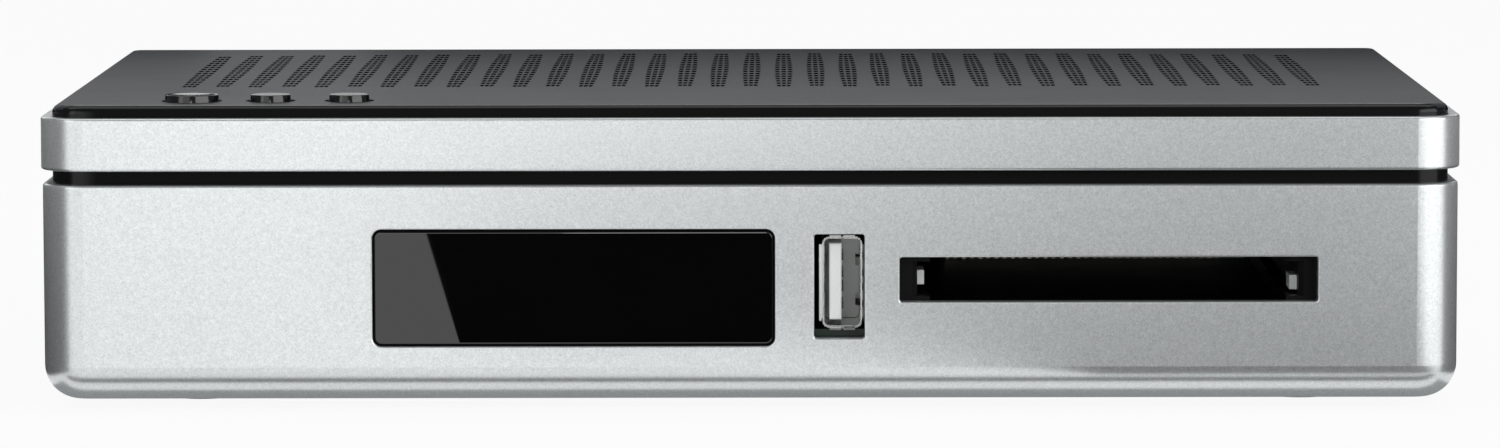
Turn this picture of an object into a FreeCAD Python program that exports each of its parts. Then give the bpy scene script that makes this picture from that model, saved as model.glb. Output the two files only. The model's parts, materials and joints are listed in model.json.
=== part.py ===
"""A compact satellite television receiver, built as the pieces it comes apart into.

Frame: X to the right as seen from the front, Y from the front to the back, Z up. The origin lies
under the middle of the whole receiver, sockets included, at the level that its feet stand on.
All sizes are in millimetres.
"""

import FreeCAD
import Part
import math
import os

from FreeCAD import Vector

# ---------------------------------------------------------------- housing
HOUSING_WIDTH = 203.0
HOUSING_DEPTH = 120.0
FOOT_HEIGHT = 1.5
TUB_HEIGHT = 31.1
SHADOW_GAP = 2.0
BAND_HEIGHT = 7.6
COVER_RISE = 1.7
LEDGE = 1.45
BAND_PROUD = 0.2
BAND_SETBACK = 3.0
BAND_GAP = 0.1
CORNER_RADIUS = 6.3
BOTTOM_RADIUS = 5.0
REAR_RADIUS = 1.5
COVER_REAR_RADIUS = 2.2
TOP_RADIUS = 1.2
EASED_EDGE = 0.4
OPENING_EDGE = 0.25
WALL = 2.2
FLOOR = 2.0
COVER_WALL = 2.0
COVER_TOP = 1.8
TONGUE_DEPTH = 2.5
TONGUE_GAP = 0.15
BAND_TAB_PITCH = 40.0
BAND_TAB_INSET = 36.0
BAND_TAB_LENGTH = 6.0
BAND_TAB_HEIGHT = 1.6
BAND_TAB_REACH = 1.4

# ---------------------------------------------------------------- rear panel
PANEL_THICKNESS = 1.0
PANEL_GAP = 0.2
REAR_LIP = 1.3
REAR_LIP_WIDTH = 2.6
PANEL_HOLD = 2.5
PANEL_RIB = 1.4
SOCKET_REACH = 8.5
CUTOUT_GAP = 0.3

# ---------------------------------------------------------------- feet and case screws
FOOT_RADIUS = 6.0
FOOT_RECESS = 0.6
FOOT_GAP = 0.15
FOOT_SIDE_INSET = 21.5
FOOT_INSET = 22.0
CASE_SCREW_INSET = 7.3
CASE_SCREW_FRONT = 27.0
CASE_BOSS_GAP = 1.5
CASE_BOSS_RADIUS = 3.3
CASE_BOSS_HEIGHT = 9.0
CASE_HEAD_RADIUS = 2.4
CASE_HEAD_HEIGHT = 1.8
CASE_HEAD_SINK = 3.6
CASE_SCREW_RADIUS = 1.3
CASE_SCREW_BITE = 8.0
CROSS_LENGTH = 2.4
CROSS_WIDTH = 0.6
CROSS_DEPTH = 0.8
SCREW_GAP = 0.06
SCREW_TIP_ROOM = 0.5
POST_GAP = 0.2

# ---------------------------------------------------------------- display
WINDOW_USB_WALL = 5.62
WINDOW_Z = 16.36
WINDOW_WIDTH = 57.5
WINDOW_HEIGHT = 16.8
WINDOW_RADIUS = 1.3
WINDOW_RECESS = 0.25
WINDOW_EDGE = 0.45
WINDOW_GAP = 0.1
WINDOW_FLANGE = 1.2
WINDOW_FLANGE_THICKNESS = 1.1
DISPLAY_GAP = 0.3
DISPLAY_WIDTH = 42.0
DISPLAY_HEIGHT = 13.0
DISPLAY_DEPTH = 8.0
DIGITS = 4
DIGIT_SLOPE = 0.14
DIGIT_WIDTH = 4.8
DIGIT_HEIGHT = 8.4
SEGMENT_WIDTH = 0.9
SEGMENT_DEPTH = 0.3
RECEIVER_OFFSET = -24.6
RECEIVER_SIDE = 6.0
RECEIVER_DEPTH = 5.0
RECEIVER_LENS_RADIUS = 2.2
LAMP_OFFSET = 25.4
LAMP_RADIUS = 1.5
LAMP_LENGTH = 5.0
DISPLAY_BOARD_MARGIN = 3.6
DISPLAY_BOARD_DROP = 1.5
DISPLAY_BOARD_HEIGHT = 24.0
GUIDE_WALL = 1.2
GUIDE_GRIP = 1.0
GUIDE_GAP = 0.1
GUIDE_HEIGHT = 14.0
STRIP_PINS = 10
STRIP_PITCH = 2.54
STRIP_PIN = 0.64
STRIP_RISE = 1.0
STRIP_REACH = 2.5

# ---------------------------------------------------------------- boards
BOARD_THICKNESS = 1.6
BOARD_TOP = 10.0
BOARD_SIDE_GAP = 0.35
BOARD_BOSS_GAP = 0.6
BOARD_FRONT = 4.0
BOARD_NOTCH_FRONT = 16.0
BOARD_NOTCH_GAP = 3.45
BOARD_REAR_GAP = 0.5
BOARD_HOLE_GAP = 0.2
STANDOFF_RADIUS = 2.8
BOARD_SCREW_RADIUS = 1.2
BOARD_HEAD_RADIUS = 2.4
BOARD_HEAD_HEIGHT = 1.5
BOARD_SCREW_BITE = 4.0
BOARD_SCREW_INSET = 10.0
BOARD_SCREW_MIDDLE = -2.0
BOARD_SCREW_FRONTS = (22.0, 36.0, 12.0)
BOARD_SCREW_REARS = (40.0, 28.0, 40.0)
BASE_SLOTS = 19
BASE_SLOT_PITCH = 6.0
BASE_SLOT_WIDTH = 2.0
BASE_SLOT_LENGTH = 26.0
BASE_SLOT_FRONT = 44.0

# ---------------------------------------------------------------- vents in the cover
VENT_PITCH = 4.92
VENT_SIDE_MARGIN = 14.5
VENT_FRONT_MARGIN = 36.5
VENT_REAR_MARGIN = 12.5
VENT_LENGTH_LOSS = 6.0
VENT_WIDTH = 2.9
VENT_END_WIDTH = 2.1
VENT_ROWS = 8
VENT_BRIDGE = 1.6
VENT_STAGGER = 2.2

# ---------------------------------------------------------------- buttons
BUTTON_NAMES = ("power", "channel_down", "channel_up")
BUTTON_SIDE_INSET = 21.05
BUTTON_PITCH = 11.35
BUTTON_RADII = (4.0, 3.0, 3.0)
BUTTON_INSET = 11.4
BUTTON_PROUD = 0.95
BUTTON_TRAVEL = 0.5
BUTTON_GAPS = (0.35, 0.6, 0.6)
BUTTON_DISH = 0.4
SMALL_BUTTON_DISH = 0.06
BUTTON_EDGE = 0.25
COLLAR_DEPTH = 1.2
COLLAR_WALL = 1.2
STOP_GAP = 0.1
FLANGE_OVERLAP = 0.8
FLANGE_THICKNESS = 1.0
STEM_RADIUS = 1.5
STEM_LENGTH = 1.4
PLUNGER_RADIUS = 1.7
PLUNGER_SHOWN = 0.8
PLUNGER_HIDDEN = 0.8
PLUNGER_GAP = 0.1
SWITCH_SIDE = 6.0
SWITCH_HEIGHT = 3.6
BUTTON_BOARD_MARGIN_X = 11.0
BUTTON_BOARD_FRONT = 6.2
BUTTON_BOARD_REAR = 8.0
BUTTON_POST_OFFSET = 8.2
BUTTON_POST_RADIUS = 2.2
BUTTON_SCREW_RADIUS = 0.9
BUTTON_SCREW_HEAD = 2.0
BUTTON_SCREW_HEAD_HEIGHT = 1.2
BUTTON_SCREW_BITE = 4.0

# ---------------------------------------------------------------- ribbon
RIBBON_OFFSET = 3.1
RIBBON_WIDTH = 8.0
RIBBON_THICKNESS = 0.3
RIBBON_SHIFT = 9.0
RIBBON_RADIUS = 5.0
RIBBON_PLUG_WIDTH = 12.0
RIBBON_PLUG_DEPTH = 3.0
RIBBON_PLUG_HEIGHT = 2.5
RIBBON_INSET = 16.0

# ---------------------------------------------------------------- USB socket
USB_OFFSET = 0.43
USB_SLOT_WALL = 5.01
USB_Z = 16.85
USB_WIDTH = 5.72
USB_HEIGHT = 13.1
USB_SHEET = 0.3
USB_CORNER = 1.0
USB_LENGTH = 14.0
USB_WALL_GAP = 0.2
USB_LIP_REACH = 0.45
USB_END_LIP_REACH = 0.3
USB_LIP_LENGTH = 0.7
USB_LIP_MARGIN = 1.05
USB_SEAM = 0.35
USB_OPENING_Z = 16.52
USB_OPENING_WIDTH = 7.2
USB_OPENING_HEIGHT = 14.95
USB_TONGUE_GAP = 0.68
USB_TONGUE = 1.8
USB_TONGUE_HEIGHT = 11.0
USB_TONGUE_INSET = 0.8
USB_BASE = 3.6
USB_FIT = 0.05
USB_CONTACT_Z = (-3.5, -1.0, 1.0, 3.5)
USB_CONTACT_WIDTH = 1.0
USB_CONTACT_THICKNESS = 0.25
USB_CONTACT_LENGTH = 6.5
USB_CONTACT_INSET = 1.0
USB_LEG = 2.5
USB_LEG_WIDTH = 2.9
USB_LEG_INSET = 4.0
USB_SPRING_START = 2.0
USB_SPRING_LENGTH = 5.0
USB_SPRING_WIDTH = 1.6
USB_SPRING_RISES = (0.4, 0.65)
USB_SPRING_Z = 2.9

# ---------------------------------------------------------------- card slot
SLOT_SIDE_WALL = 20.42
SLOT_Z = 17.48
SLOT_ROOM = 2.55
SLOT_HEIGHT = 6.4
SLOT_RADIUS = 0.4
CARD_GROOVE_DROP = 0.15
CARD_BODY_WIDTH = 51.0
CARD_EDGE = 1.8
CARD_GROOVE = 5.0
CARD_LEAD_IN = 0.7
GUIDE_ARM_WALL = 3.2
GUIDE_ROOF = 1.6
GUIDE_FRONT_GAP = 0.4
TRAY_DROP = 2.3
TRAY_THICKNESS = 1.0
HEADER_GAP = 5.3
HEADER_DEPTH = 8.5
HEADER_ABOVE = 2.8
HEADER_BELOW = 2.1
PIN_COLUMNS = 34
PIN_PITCH = 1.27
PIN_SIDE = 0.44
PIN_TIP = 5.0
PIN_TAIL_ROWS = ((1.0, 2.4), (4.4, 5.8))
GUIDE_FOOT_LENGTH = 6.0
GUIDE_FOOT_INSETS = (14.0, 62.0)
KEY_RIB_WIDTH = 1.05
KEY_RIB_HEIGHT = 2.05
KEY_RIB_LENGTH = 6.0
KEY_RIB_INSET = 4.0
KEY_RIB_OFFSETS = (-0.15, -0.95)

# ---------------------------------------------------------------- parts on the main board
CHIP_X = -22.0
CHIP_Y = 58.0
CHIP_SIDE = 27.0
CHIP_HEIGHT = 2.0
SINK_SIDE = 30.0
SINK_HEIGHT = 14.0
SINK_BASE = 2.5
SINK_FINS = 9
SINK_FIN = 1.2
MEMORY_WIDTH = 10.0
MEMORY_LENGTH = 13.0
MEMORY_HEIGHT = 1.2
MEMORY_SPOTS = ((-49.0, 50.0), (-49.0, 66.0))
CAPACITOR_RADIUS = 4.0
CAPACITOR_HEIGHT = 12.0
CAPACITOR_SPOTS = ((-64.0, 46.0), (-64.0, 58.0), (-64.0, 70.0), (-56.0, 81.0), (6.0, 60.0), (6.0, 72.0))
COIL_SIDE = 10.0
COIL_HEIGHT = 6.0
COIL_SPOTS = ((-76.0, 52.0), (-76.0, 66.0))

# ---------------------------------------------------------------- rear sockets
LNB_PITCH = 20.0
LNB_RISE = 9.0
LNB_RADIUS = 4.75
LNB_NECK_RADIUS = 4.4
LNB_BORE = 3.4
LNB_BORE_DEPTH = 9.0
LNB_PIN_HOLE = 0.6
LNB_INSULATOR_SINK = 0.6
TUNER_MARGIN = 10.0
TUNER_DEPTH = 24.0
TUNER_HEIGHT = 17.0
TUNER_RIM = 0.5
TUNER_LID = 5.0
TUNER_LID_RISE = 1.0
TUNER_PANEL_GAP = 0.3
SCART_WIDTH = 46.0
SCART_HEIGHT = 15.0
SCART_DEPTH = 20.0
SCART_WALL = 1.2
SCART_CHANNEL = 1.5
SCART_CHANNEL_DEPTH = 9.0
SCART_SLANT = 5.0
SCART_SHOWN = 0.6
SCART_SLOTS = 10
SCART_SLOT_PITCH = 3.8
SCART_SLOT_WIDTH = 0.9
SCART_SLOT_HEIGHT = 3.4
SCART_SLOT_RISE = 2.1
SCART_BLADE = 0.5
SCART_BLADE_DEPTH = 7.0
HDMI_WIDTH = 15.0
HDMI_HEIGHT = 5.8
HDMI_DEPTH = 12.0
HDMI_SHEET = 0.4
HDMI_BEVEL = 1.6
HDMI_RISE = 0.6
HDMI_SHOWN = 0.5
HDMI_TONGUE_WIDTH = 11.0
HDMI_TONGUE = 1.2
HDMI_TONGUE_SINK = 2.0
HDMI_BASE = 4.0
HDMI_LEG_WIDTH = 1.2
HDMI_LEG_LENGTH = 1.6
HDMI_LEG_MARGIN = 1.0
HDMI_LEG_FRONT = 2.5
HDMI_LEG_REAR = 4.5
RCA_PITCH_X = 12.0
RCA_PITCH_Z = 12.5
RCA_RISE = 6.6
RCA_BLOCK_DEPTH = 12.0
RCA_BLOCK_MARGIN = 6.0
RCA_STEP_DEPTH = 3.0
RCA_STEP_HEIGHT = 4.0
RCA_NAMES = ("video", "digital_audio", "audio_left", "audio_right")
RCA_RADIUS = 4.15
RCA_BORE = 3.5
RCA_REACH = 8.0
RCA_HOLE = 1.6
RCA_SINK = 0.5
SERIAL_RISE = 6.5
SERIAL_WIDTH = 16.9
SERIAL_HEIGHT = 8.3
SERIAL_SLANT = 0.8
SERIAL_SHEET = 0.5
SERIAL_REACH = 5.9
SERIAL_SINK = 1.0
SERIAL_FLANGE_WIDTH = 30.8
SERIAL_FLANGE_HEIGHT = 12.5
SERIAL_FLANGE = 0.8
SERIAL_BODY_DEPTH = 9.0
SERIAL_SCREW_PITCH = 25.0
SERIAL_SCREW_RADIUS = 2.6
SERIAL_SCREW_LENGTH = 4.5
SERIAL_SHANK_RADIUS = 1.5
SERIAL_SHANK = 4.5
SERIAL_SCREW_BORE = 1.2
SERIAL_PIN_HOLE = 0.55
SERIAL_PIN_PITCH = 2.77
SERIAL_ROW_PITCH = 2.84
DC_WIDTH = 9.0
DC_HEIGHT = 11.0
DC_DEPTH = 13.0
DC_BORE = 3.15
DC_BORE_DEPTH = 9.5
DC_PIN = 1.05
DC_SHOWN = 0.4

# ---------------------------------------------------------------- levels and faces that follow
FRONT = BAND_PROUD - (BAND_PROUD + HOUSING_DEPTH + SOCKET_REACH) / 2
REAR = FRONT + HOUSING_DEPTH
HALF = HOUSING_WIDTH / 2
BASE_Z = FOOT_HEIGHT
FLOOR_Z = BASE_Z + FLOOR
RIM_Z = BASE_Z + TUB_HEIGHT
BAND_Z = RIM_Z + SHADOW_GAP
BAND_TOP_Z = BAND_Z + BAND_HEIGHT
TOP_Z = BAND_TOP_Z + COVER_RISE
CEILING_Z = TOP_Z - COVER_TOP
BOARD_Z = BASE_Z + BOARD_TOP
PANEL_REAR = REAR - REAR_LIP - PANEL_GAP / 2
PANEL_FRONT = PANEL_REAR - PANEL_THICKNESS
COVER_HALF = HALF - LEDGE
COVER_INNER_HALF = COVER_HALF - COVER_WALL
COVER_FRONT = FRONT + LEDGE
VENT_GROUPS = 2 * int((COVER_HALF - VENT_SIDE_MARGIN) / VENT_PITCH) + 1
VENT_LENGTH = HOUSING_DEPTH - VENT_FRONT_MARGIN - VENT_REAR_MARGIN
VENT_CENTRE = VENT_FRONT_MARGIN + VENT_LENGTH / 2
CARD_WIDTH = CARD_BODY_WIDTH + 2 * CARD_EDGE
GUIDE_OUTER_WIDTH = CARD_WIDTH + 2 * GUIDE_ARM_WALL
SLOT_WIDTH = CARD_WIDTH + 2 * SLOT_ROOM
SLOT_X = HALF - SLOT_SIDE_WALL - SLOT_WIDTH / 2
USB_OPENING_X = SLOT_X - SLOT_WIDTH / 2 - USB_SLOT_WALL - USB_OPENING_WIDTH / 2
USB_X = USB_OPENING_X + USB_OFFSET
WINDOW_X = USB_OPENING_X - USB_OPENING_WIDTH / 2 - WINDOW_USB_WALL - WINDOW_WIDTH / 2
BUTTON_X = [BUTTON_SIDE_INSET - HALF + number * BUTTON_PITCH for number in range(len(BUTTON_NAMES))]
RIBBON_X = BUTTON_X[1] + RIBBON_OFFSET
CASE_SCREW_X = HALF - CASE_SCREW_INSET
FOOT_X = HALF - FOOT_SIDE_INSET
BOARD_HALF_WIDTH = COVER_INNER_HALF - PANEL_HOLD - BOARD_SIDE_GAP
BOARD_NOTCH_X = WINDOW_X + WINDOW_WIDTH / 2 + BOARD_NOTCH_GAP
TUNER_REAR = PANEL_FRONT - TUNER_PANEL_GAP
TUNER_FRONT = TUNER_REAR - TUNER_DEPTH - TUNER_RIM
HEADER_FRONT = TUNER_FRONT - HEADER_GAP - HEADER_DEPTH
THROUGH = 1.0


def rear_row():
    """The X of each socket's centre along the rear, spread evenly over the main board's width."""
    rca_width = RCA_PITCH_X + 2 * RCA_BLOCK_MARGIN
    tuner_width = LNB_PITCH + 2 * (TUNER_MARGIN + TUNER_RIM)
    widths = (DC_WIDTH, SCART_WIDTH, HDMI_WIDTH, rca_width, SERIAL_FLANGE_WIDTH, tuner_width)
    gap = (2 * BOARD_HALF_WIDTH - sum(widths)) / (len(widths) - 1)
    centres = []
    place = -BOARD_HALF_WIDTH
    for width in widths:
        centres.append(place + width / 2)
        place += width + gap
    return centres


DC_X, SCART_X, HDMI_X, RCA_X, SERIAL_X, TUNER_X = rear_row()
LNB_X = (TUNER_X - LNB_PITCH / 2, TUNER_X + LNB_PITCH / 2)


# ---------------------------------------------------------------- helpers
def block(x, y, z):
    """A box between the two values of each of x, y and z."""
    return Part.makeBox(x[1] - x[0], y[1] - y[0], z[1] - z[0], Vector(x[0], y[0], z[0]))


def block_at(x, y, z, width, depth, height):
    """A box centred on x and y, standing on z."""
    return block((x - width / 2, x + width / 2), (y - depth / 2, y + depth / 2), (z, z + height))


def upright(x, y, z, radius, height):
    """A cylinder standing on z."""
    return Part.makeCylinder(radius, height, Vector(x, y, z))


def lying(x, y, z, radius, length):
    """A cylinder that runs back along Y from y."""
    return Part.makeCylinder(radius, length, Vector(x, y, z), Vector(0, 1, 0))


def edges_where(shape, test):
    """The edges whose every point passes the test."""
    found = []
    for edge in shape.Edges:
        first, last = edge.FirstParameter, edge.LastParameter
        points = [edge.valueAt(first + (last - first) * share) for share in (0.0, 0.5, 1.0)]
        if all(test(point) for point in points):
            found.append(edge)
    return found


def near(first, second):
    return abs(first - second) < 1e-4


def within(value, span):
    """Whether the value lies in the span, its ends included."""
    return span[0] - 1e-4 < value < span[1] + 1e-4


def is_upright(edge):
    return near(edge.tangentAt(edge.FirstParameter).z ** 2, 1.0) and edge.Curve.TypeId == "Part::GeomLine"


def eased(shape, radius, test):
    """The shape with the edges that pass the test rounded."""
    return shape.makeFillet(radius, edges_where(shape, test))


def rounded_plan(x, y, z, front_radius, rear_radius):
    """A box whose upright edges are rounded, the front two and the rear two by their own radius."""
    made = block(x, y, z)
    for radius, face_y in ((front_radius, y[0]), (rear_radius, y[1])):
        if radius > 0:
            chosen = [e for e in made.Edges if is_upright(e) and near(e.CenterOfMass.y, face_y)]
            made = made.makeFillet(radius, chosen)
    return made


def front_prism(x, z, y, radius):
    """A rectangle in X and Z with rounded corners, running along Y."""
    made = block(x, y, z)
    chosen = [e for e in made.Edges if near(abs(e.tangentAt(e.FirstParameter).y), 1.0)]
    return made.makeFillet(radius, chosen)


def polygon_prism(points, y):
    """A closed outline of X and Z points, running along Y."""
    corners = [Vector(px, y[0], pz) for px, pz in points]
    face = Part.Face(Part.makePolygon(corners + corners[:1]))
    return face.extrude(Vector(0, y[1] - y[0], 0))


def plan_prism(points, z):
    """A closed outline of X and Y points, standing on z[0]."""
    corners = [Vector(px, py, z[0]) for px, py in points]
    face = Part.Face(Part.makePolygon(corners + corners[:1]))
    return face.extrude(Vector(0, 0, z[1] - z[0]))


def joined(shapes):
    """One solid from shapes that touch or overlap."""
    return shapes[0].multiFuse(shapes[1:]).removeSplitter()


def write(name, shapes):
    """Writes one node from a solid or a list of solids."""
    solids = shapes if isinstance(shapes, list) else [shapes]
    solids = [solid for shape in solids for solid in shape.Solids]
    shape = solids[0] if len(solids) == 1 else Part.makeCompound(solids)
    shape.exportStep(os.path.join("parts", name + ".step"))
    print(name, len(solids), round(sum(solid.Volume for solid in solids), 1))


def both(value):
    return (-value, value)


# ---------------------------------------------------------------- housing
def tub_form(inset, floor_z, rear, bottom_radius):
    """The tub's outer form moved in by inset: rounded front corners and bottom, cut flat at the rear."""
    spare = CORNER_RADIUS * 3
    corner = max(CORNER_RADIUS - inset, 0.5)
    made = rounded_plan(both(HALF - inset), (FRONT + inset, rear + spare), (floor_z, RIM_Z), corner, corner)
    made = eased(made, min(bottom_radius, corner - 0.05), lambda p: near(p.z, floor_z))
    return made.cut(block(both(HOUSING_WIDTH), (rear, rear + 2 * spare), (0, TOP_Z)))


def case_screw_places():
    rows = (FRONT + CASE_SCREW_FRONT, TUNER_FRONT - CASE_BOSS_GAP - CASE_BOSS_RADIUS)
    return [(side * CASE_SCREW_X, y) for side in (-1, 1) for y in rows]


def board_screw_places():
    side = BOARD_HALF_WIDTH - BOARD_SCREW_INSET
    columns = (-side, BOARD_SCREW_MIDDLE, side)
    front = [(x, FRONT + inset) for x, inset in zip(columns, BOARD_SCREW_FRONTS)]
    return front + [(x, REAR - inset) for x, inset in zip(columns, BOARD_SCREW_REARS)]


def foot_places():
    rows = (FRONT + FOOT_INSET, REAR - FOOT_INSET)
    return [(side * FOOT_X, y) for side in (-1, 1) for y in rows]


def window_span(margin):
    """The display window's X and Z ranges, with a margin all round."""
    centre_z = BASE_Z + WINDOW_Z
    x = (WINDOW_X - WINDOW_WIDTH / 2 - margin, WINDOW_X + WINDOW_WIDTH / 2 + margin)
    return x, (centre_z - WINDOW_HEIGHT / 2 - margin, centre_z + WINDOW_HEIGHT / 2 + margin)


def front_openings():
    """X range, Z range and corner radius of each opening in the front wall."""
    slot_z = BASE_Z + SLOT_Z
    usb_z = BASE_Z + USB_OPENING_Z
    window_x, window_z = window_span(0)
    slot_x = (SLOT_X - SLOT_WIDTH / 2, SLOT_X + SLOT_WIDTH / 2)
    usb_x = (USB_OPENING_X - USB_OPENING_WIDTH / 2, USB_OPENING_X + USB_OPENING_WIDTH / 2)
    return [
        (window_x, window_z, WINDOW_RADIUS),
        (usb_x, (usb_z - USB_OPENING_HEIGHT / 2, usb_z + USB_OPENING_HEIGHT / 2), SLOT_RADIUS),
        (slot_x, (slot_z - SLOT_HEIGHT / 2, slot_z + SLOT_HEIGHT / 2), SLOT_RADIUS),
    ]


def display_board_faces():
    """The display board's front and back, counted along Y."""
    front = FRONT + WALL + WINDOW_FLANGE_THICKNESS + DISPLAY_GAP + DISPLAY_DEPTH
    return front, front + BOARD_THICKNESS


def display_board_x():
    x, _ = window_span(0)
    return x[0] - DISPLAY_BOARD_MARGIN, x[1] + DISPLAY_BOARD_MARGIN / 3


def tub_guides():
    """Two slotted ribs on the tub's floor that hold the ends of the display board."""
    front, back = display_board_faces()
    low_x, high_x = display_board_x()
    y = (front - GUIDE_GAP - GUIDE_WALL, back + GUIDE_GAP + GUIDE_WALL)
    z = (FLOOR_Z, FLOOR_Z + GUIDE_HEIGHT)
    slot_y = (front - GUIDE_GAP, back + GUIDE_GAP)
    slot_z = (FLOOR_Z + DISPLAY_BOARD_DROP, z[1] + THROUGH)
    slot = block((low_x - GUIDE_GAP, high_x + GUIDE_GAP), slot_y, slot_z)
    ribs = []
    for x in ((low_x - GUIDE_WALL, low_x + GUIDE_GRIP), (high_x - GUIDE_GRIP, high_x + GUIDE_WALL)):
        ribs.append(block(x, y, z).cut(slot))
    return ribs


def panel_ribs():
    """Upright ribs on the side walls, in front of the rear panel."""
    y = (PANEL_FRONT - PANEL_GAP - PANEL_RIB, PANEL_FRONT - PANEL_GAP)
    reach = HALF - COVER_INNER_HALF + PANEL_HOLD
    ribs = []
    for side in (-1, 1):
        x = sorted((side * (HALF - reach), side * (HALF - WALL / 2)))
        ribs.append(block(x, y, (BASE_Z + FLOOR / 2, RIM_Z - TONGUE_DEPTH - TONGUE_GAP)))
    return ribs


def lower_housing():
    """The silver tub: front, sides and floor in one moulding, with a lip that holds the rear panel."""
    def on_rear_edge(p):
        return near(p.y, REAR) and (p.z < RIM_Z - THROUGH or near(abs(p.x), HALF))

    outer = eased(tub_form(0, BASE_Z, REAR, BOTTOM_RADIUS), REAR_RADIUS, on_rear_edge)
    outer = eased(outer, EASED_EDGE, lambda p: near(p.z, RIM_Z) and p.y < REAR - THROUGH)
    groove_rear = PANEL_REAR + PANEL_GAP / 2
    made = outer.cut(tub_form(WALL, FLOOR_Z, groove_rear, BOTTOM_RADIUS - WALL))
    opening_x = both(HALF - WALL - REAR_LIP_WIDTH)
    mouth_y = (groove_rear - THROUGH, REAR + THROUGH)
    made = made.cut(block(opening_x, mouth_y, (FLOOR_Z + REAR_LIP_WIDTH, RIM_Z + THROUGH)))
    for x, z, radius in front_openings():
        made = made.cut(front_prism(x, z, (FRONT - THROUGH, FRONT + WALL + THROUGH), radius))
        made = eased(made, OPENING_EDGE, lambda p: near(p.y, FRONT) and within(p.x, x) and within(p.z, z))
    root = BASE_Z + FLOOR / 2
    boss = FLOOR / 2 + CASE_BOSS_HEIGHT
    standoff = BOARD_Z - BOARD_THICKNESS - root
    posts = [upright(x, y, root, CASE_BOSS_RADIUS, boss) for x, y in case_screw_places()]
    posts += [upright(x, y, root, STANDOFF_RADIUS, standoff) for x, y in board_screw_places()]
    made = joined([made] + posts + tub_guides() + panel_ribs())
    holes = []
    below = BASE_Z - THROUGH
    for x, y in case_screw_places():
        holes.append(upright(x, y, below, CASE_HEAD_RADIUS + CUTOUT_GAP, CASE_HEAD_SINK + THROUGH))
        holes.append(upright(x, y, below, CASE_SCREW_RADIUS + CUTOUT_GAP, root + boss + THROUGH))
    for x, y in board_screw_places():
        depth = BOARD_SCREW_BITE + SCREW_TIP_ROOM
        foot = BOARD_Z - BOARD_THICKNESS - depth
        holes.append(upright(x, y, foot, BOARD_SCREW_RADIUS + SCREW_GAP, depth + THROUGH))
    for x, y in foot_places():
        holes.append(upright(x, y, below, FOOT_RADIUS + FOOT_GAP, FOOT_RECESS + THROUGH))
    for count in range(BASE_SLOTS):
        x = (count - (BASE_SLOTS - 1) / 2) * BASE_SLOT_PITCH
        y = FRONT + BASE_SLOT_FRONT + BASE_SLOT_LENGTH / 2
        holes.append(block_at(x, y, below, BASE_SLOT_WIDTH, BASE_SLOT_LENGTH, FLOOR + 2 * THROUGH))
    return made.cut(holes)


def vent_slots():
    """Spindle-shaped groups of slots across the cover; neighbouring groups are staggered."""
    slots = []
    z = CEILING_Z - THROUGH
    depth = COVER_TOP + 2 * THROUGH
    middle = (VENT_GROUPS - 1) / 2
    for group in range(VENT_GROUPS):
        place = (group - middle) / middle
        length = VENT_LENGTH - VENT_LENGTH_LOSS * place ** 2
        pitch = (length + VENT_BRIDGE) / VENT_ROWS
        shift = VENT_STAGGER / 2 if group % 2 else -VENT_STAGGER / 2
        start = FRONT + VENT_CENTRE - length / 2 + shift
        for row in range(VENT_ROWS):
            swell = math.sin(math.pi * (row + 0.5) / VENT_ROWS)
            width = VENT_END_WIDTH + (VENT_WIDTH - VENT_END_WIDTH) * swell
            y = start + row * pitch + (pitch - VENT_BRIDGE) / 2
            x = (group - middle) * VENT_PITCH
            slots.append(block_at(x, y, z, width, pitch - VENT_BRIDGE, depth))
    return slots


def case_post_z():
    """The foot of the cover's posts, just above the tub's bosses."""
    return FLOOR_Z + CASE_BOSS_HEIGHT + POST_GAP


def button_y():
    return FRONT + BUTTON_INSET


def button_holes():
    """The radius of the cover's hole round each button."""
    return [radius + gap for radius, gap in zip(BUTTON_RADII, BUTTON_GAPS)]


def button_board_z():
    """The height of the button board's upper face."""
    flange_z = CEILING_Z - COLLAR_DEPTH - STOP_GAP - FLANGE_THICKNESS
    return flange_z - STEM_LENGTH - PLUNGER_SHOWN - SWITCH_HEIGHT


def button_post_places():
    return [(BUTTON_X[0] - BUTTON_POST_OFFSET, button_y()), (BUTTON_X[-1] + BUTTON_POST_OFFSET, button_y())]


def band_tabs(gap):
    """Tabs that hold the silver band in slots of the cover's skirt, or the slots, with a gap."""
    half = BAND_TAB_LENGTH / 2 + gap
    centre_z = BAND_Z + BAND_HEIGHT / 2
    z = (centre_z - BAND_TAB_HEIGHT / 2 - gap, centre_z + BAND_TAB_HEIGHT / 2 + gap)
    reach = BAND_TAB_REACH + gap
    tabs = []
    for count in (-1.5, -0.5, 0.5, 1.5):
        x = count * BAND_TAB_PITCH
        tabs.append(block((x - half, x + half), (COVER_FRONT - BAND_GAP * 2, COVER_FRONT + reach), z))
    for side in (-1, 1):
        span_x = sorted((side * (COVER_HALF + BAND_GAP * 2), side * (COVER_HALF - reach)))
        for y in (FRONT + BAND_TAB_INSET, REAR - BAND_TAB_INSET):
            tabs.append(block(span_x, (y - half, y + half), z))
    return tabs


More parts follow.
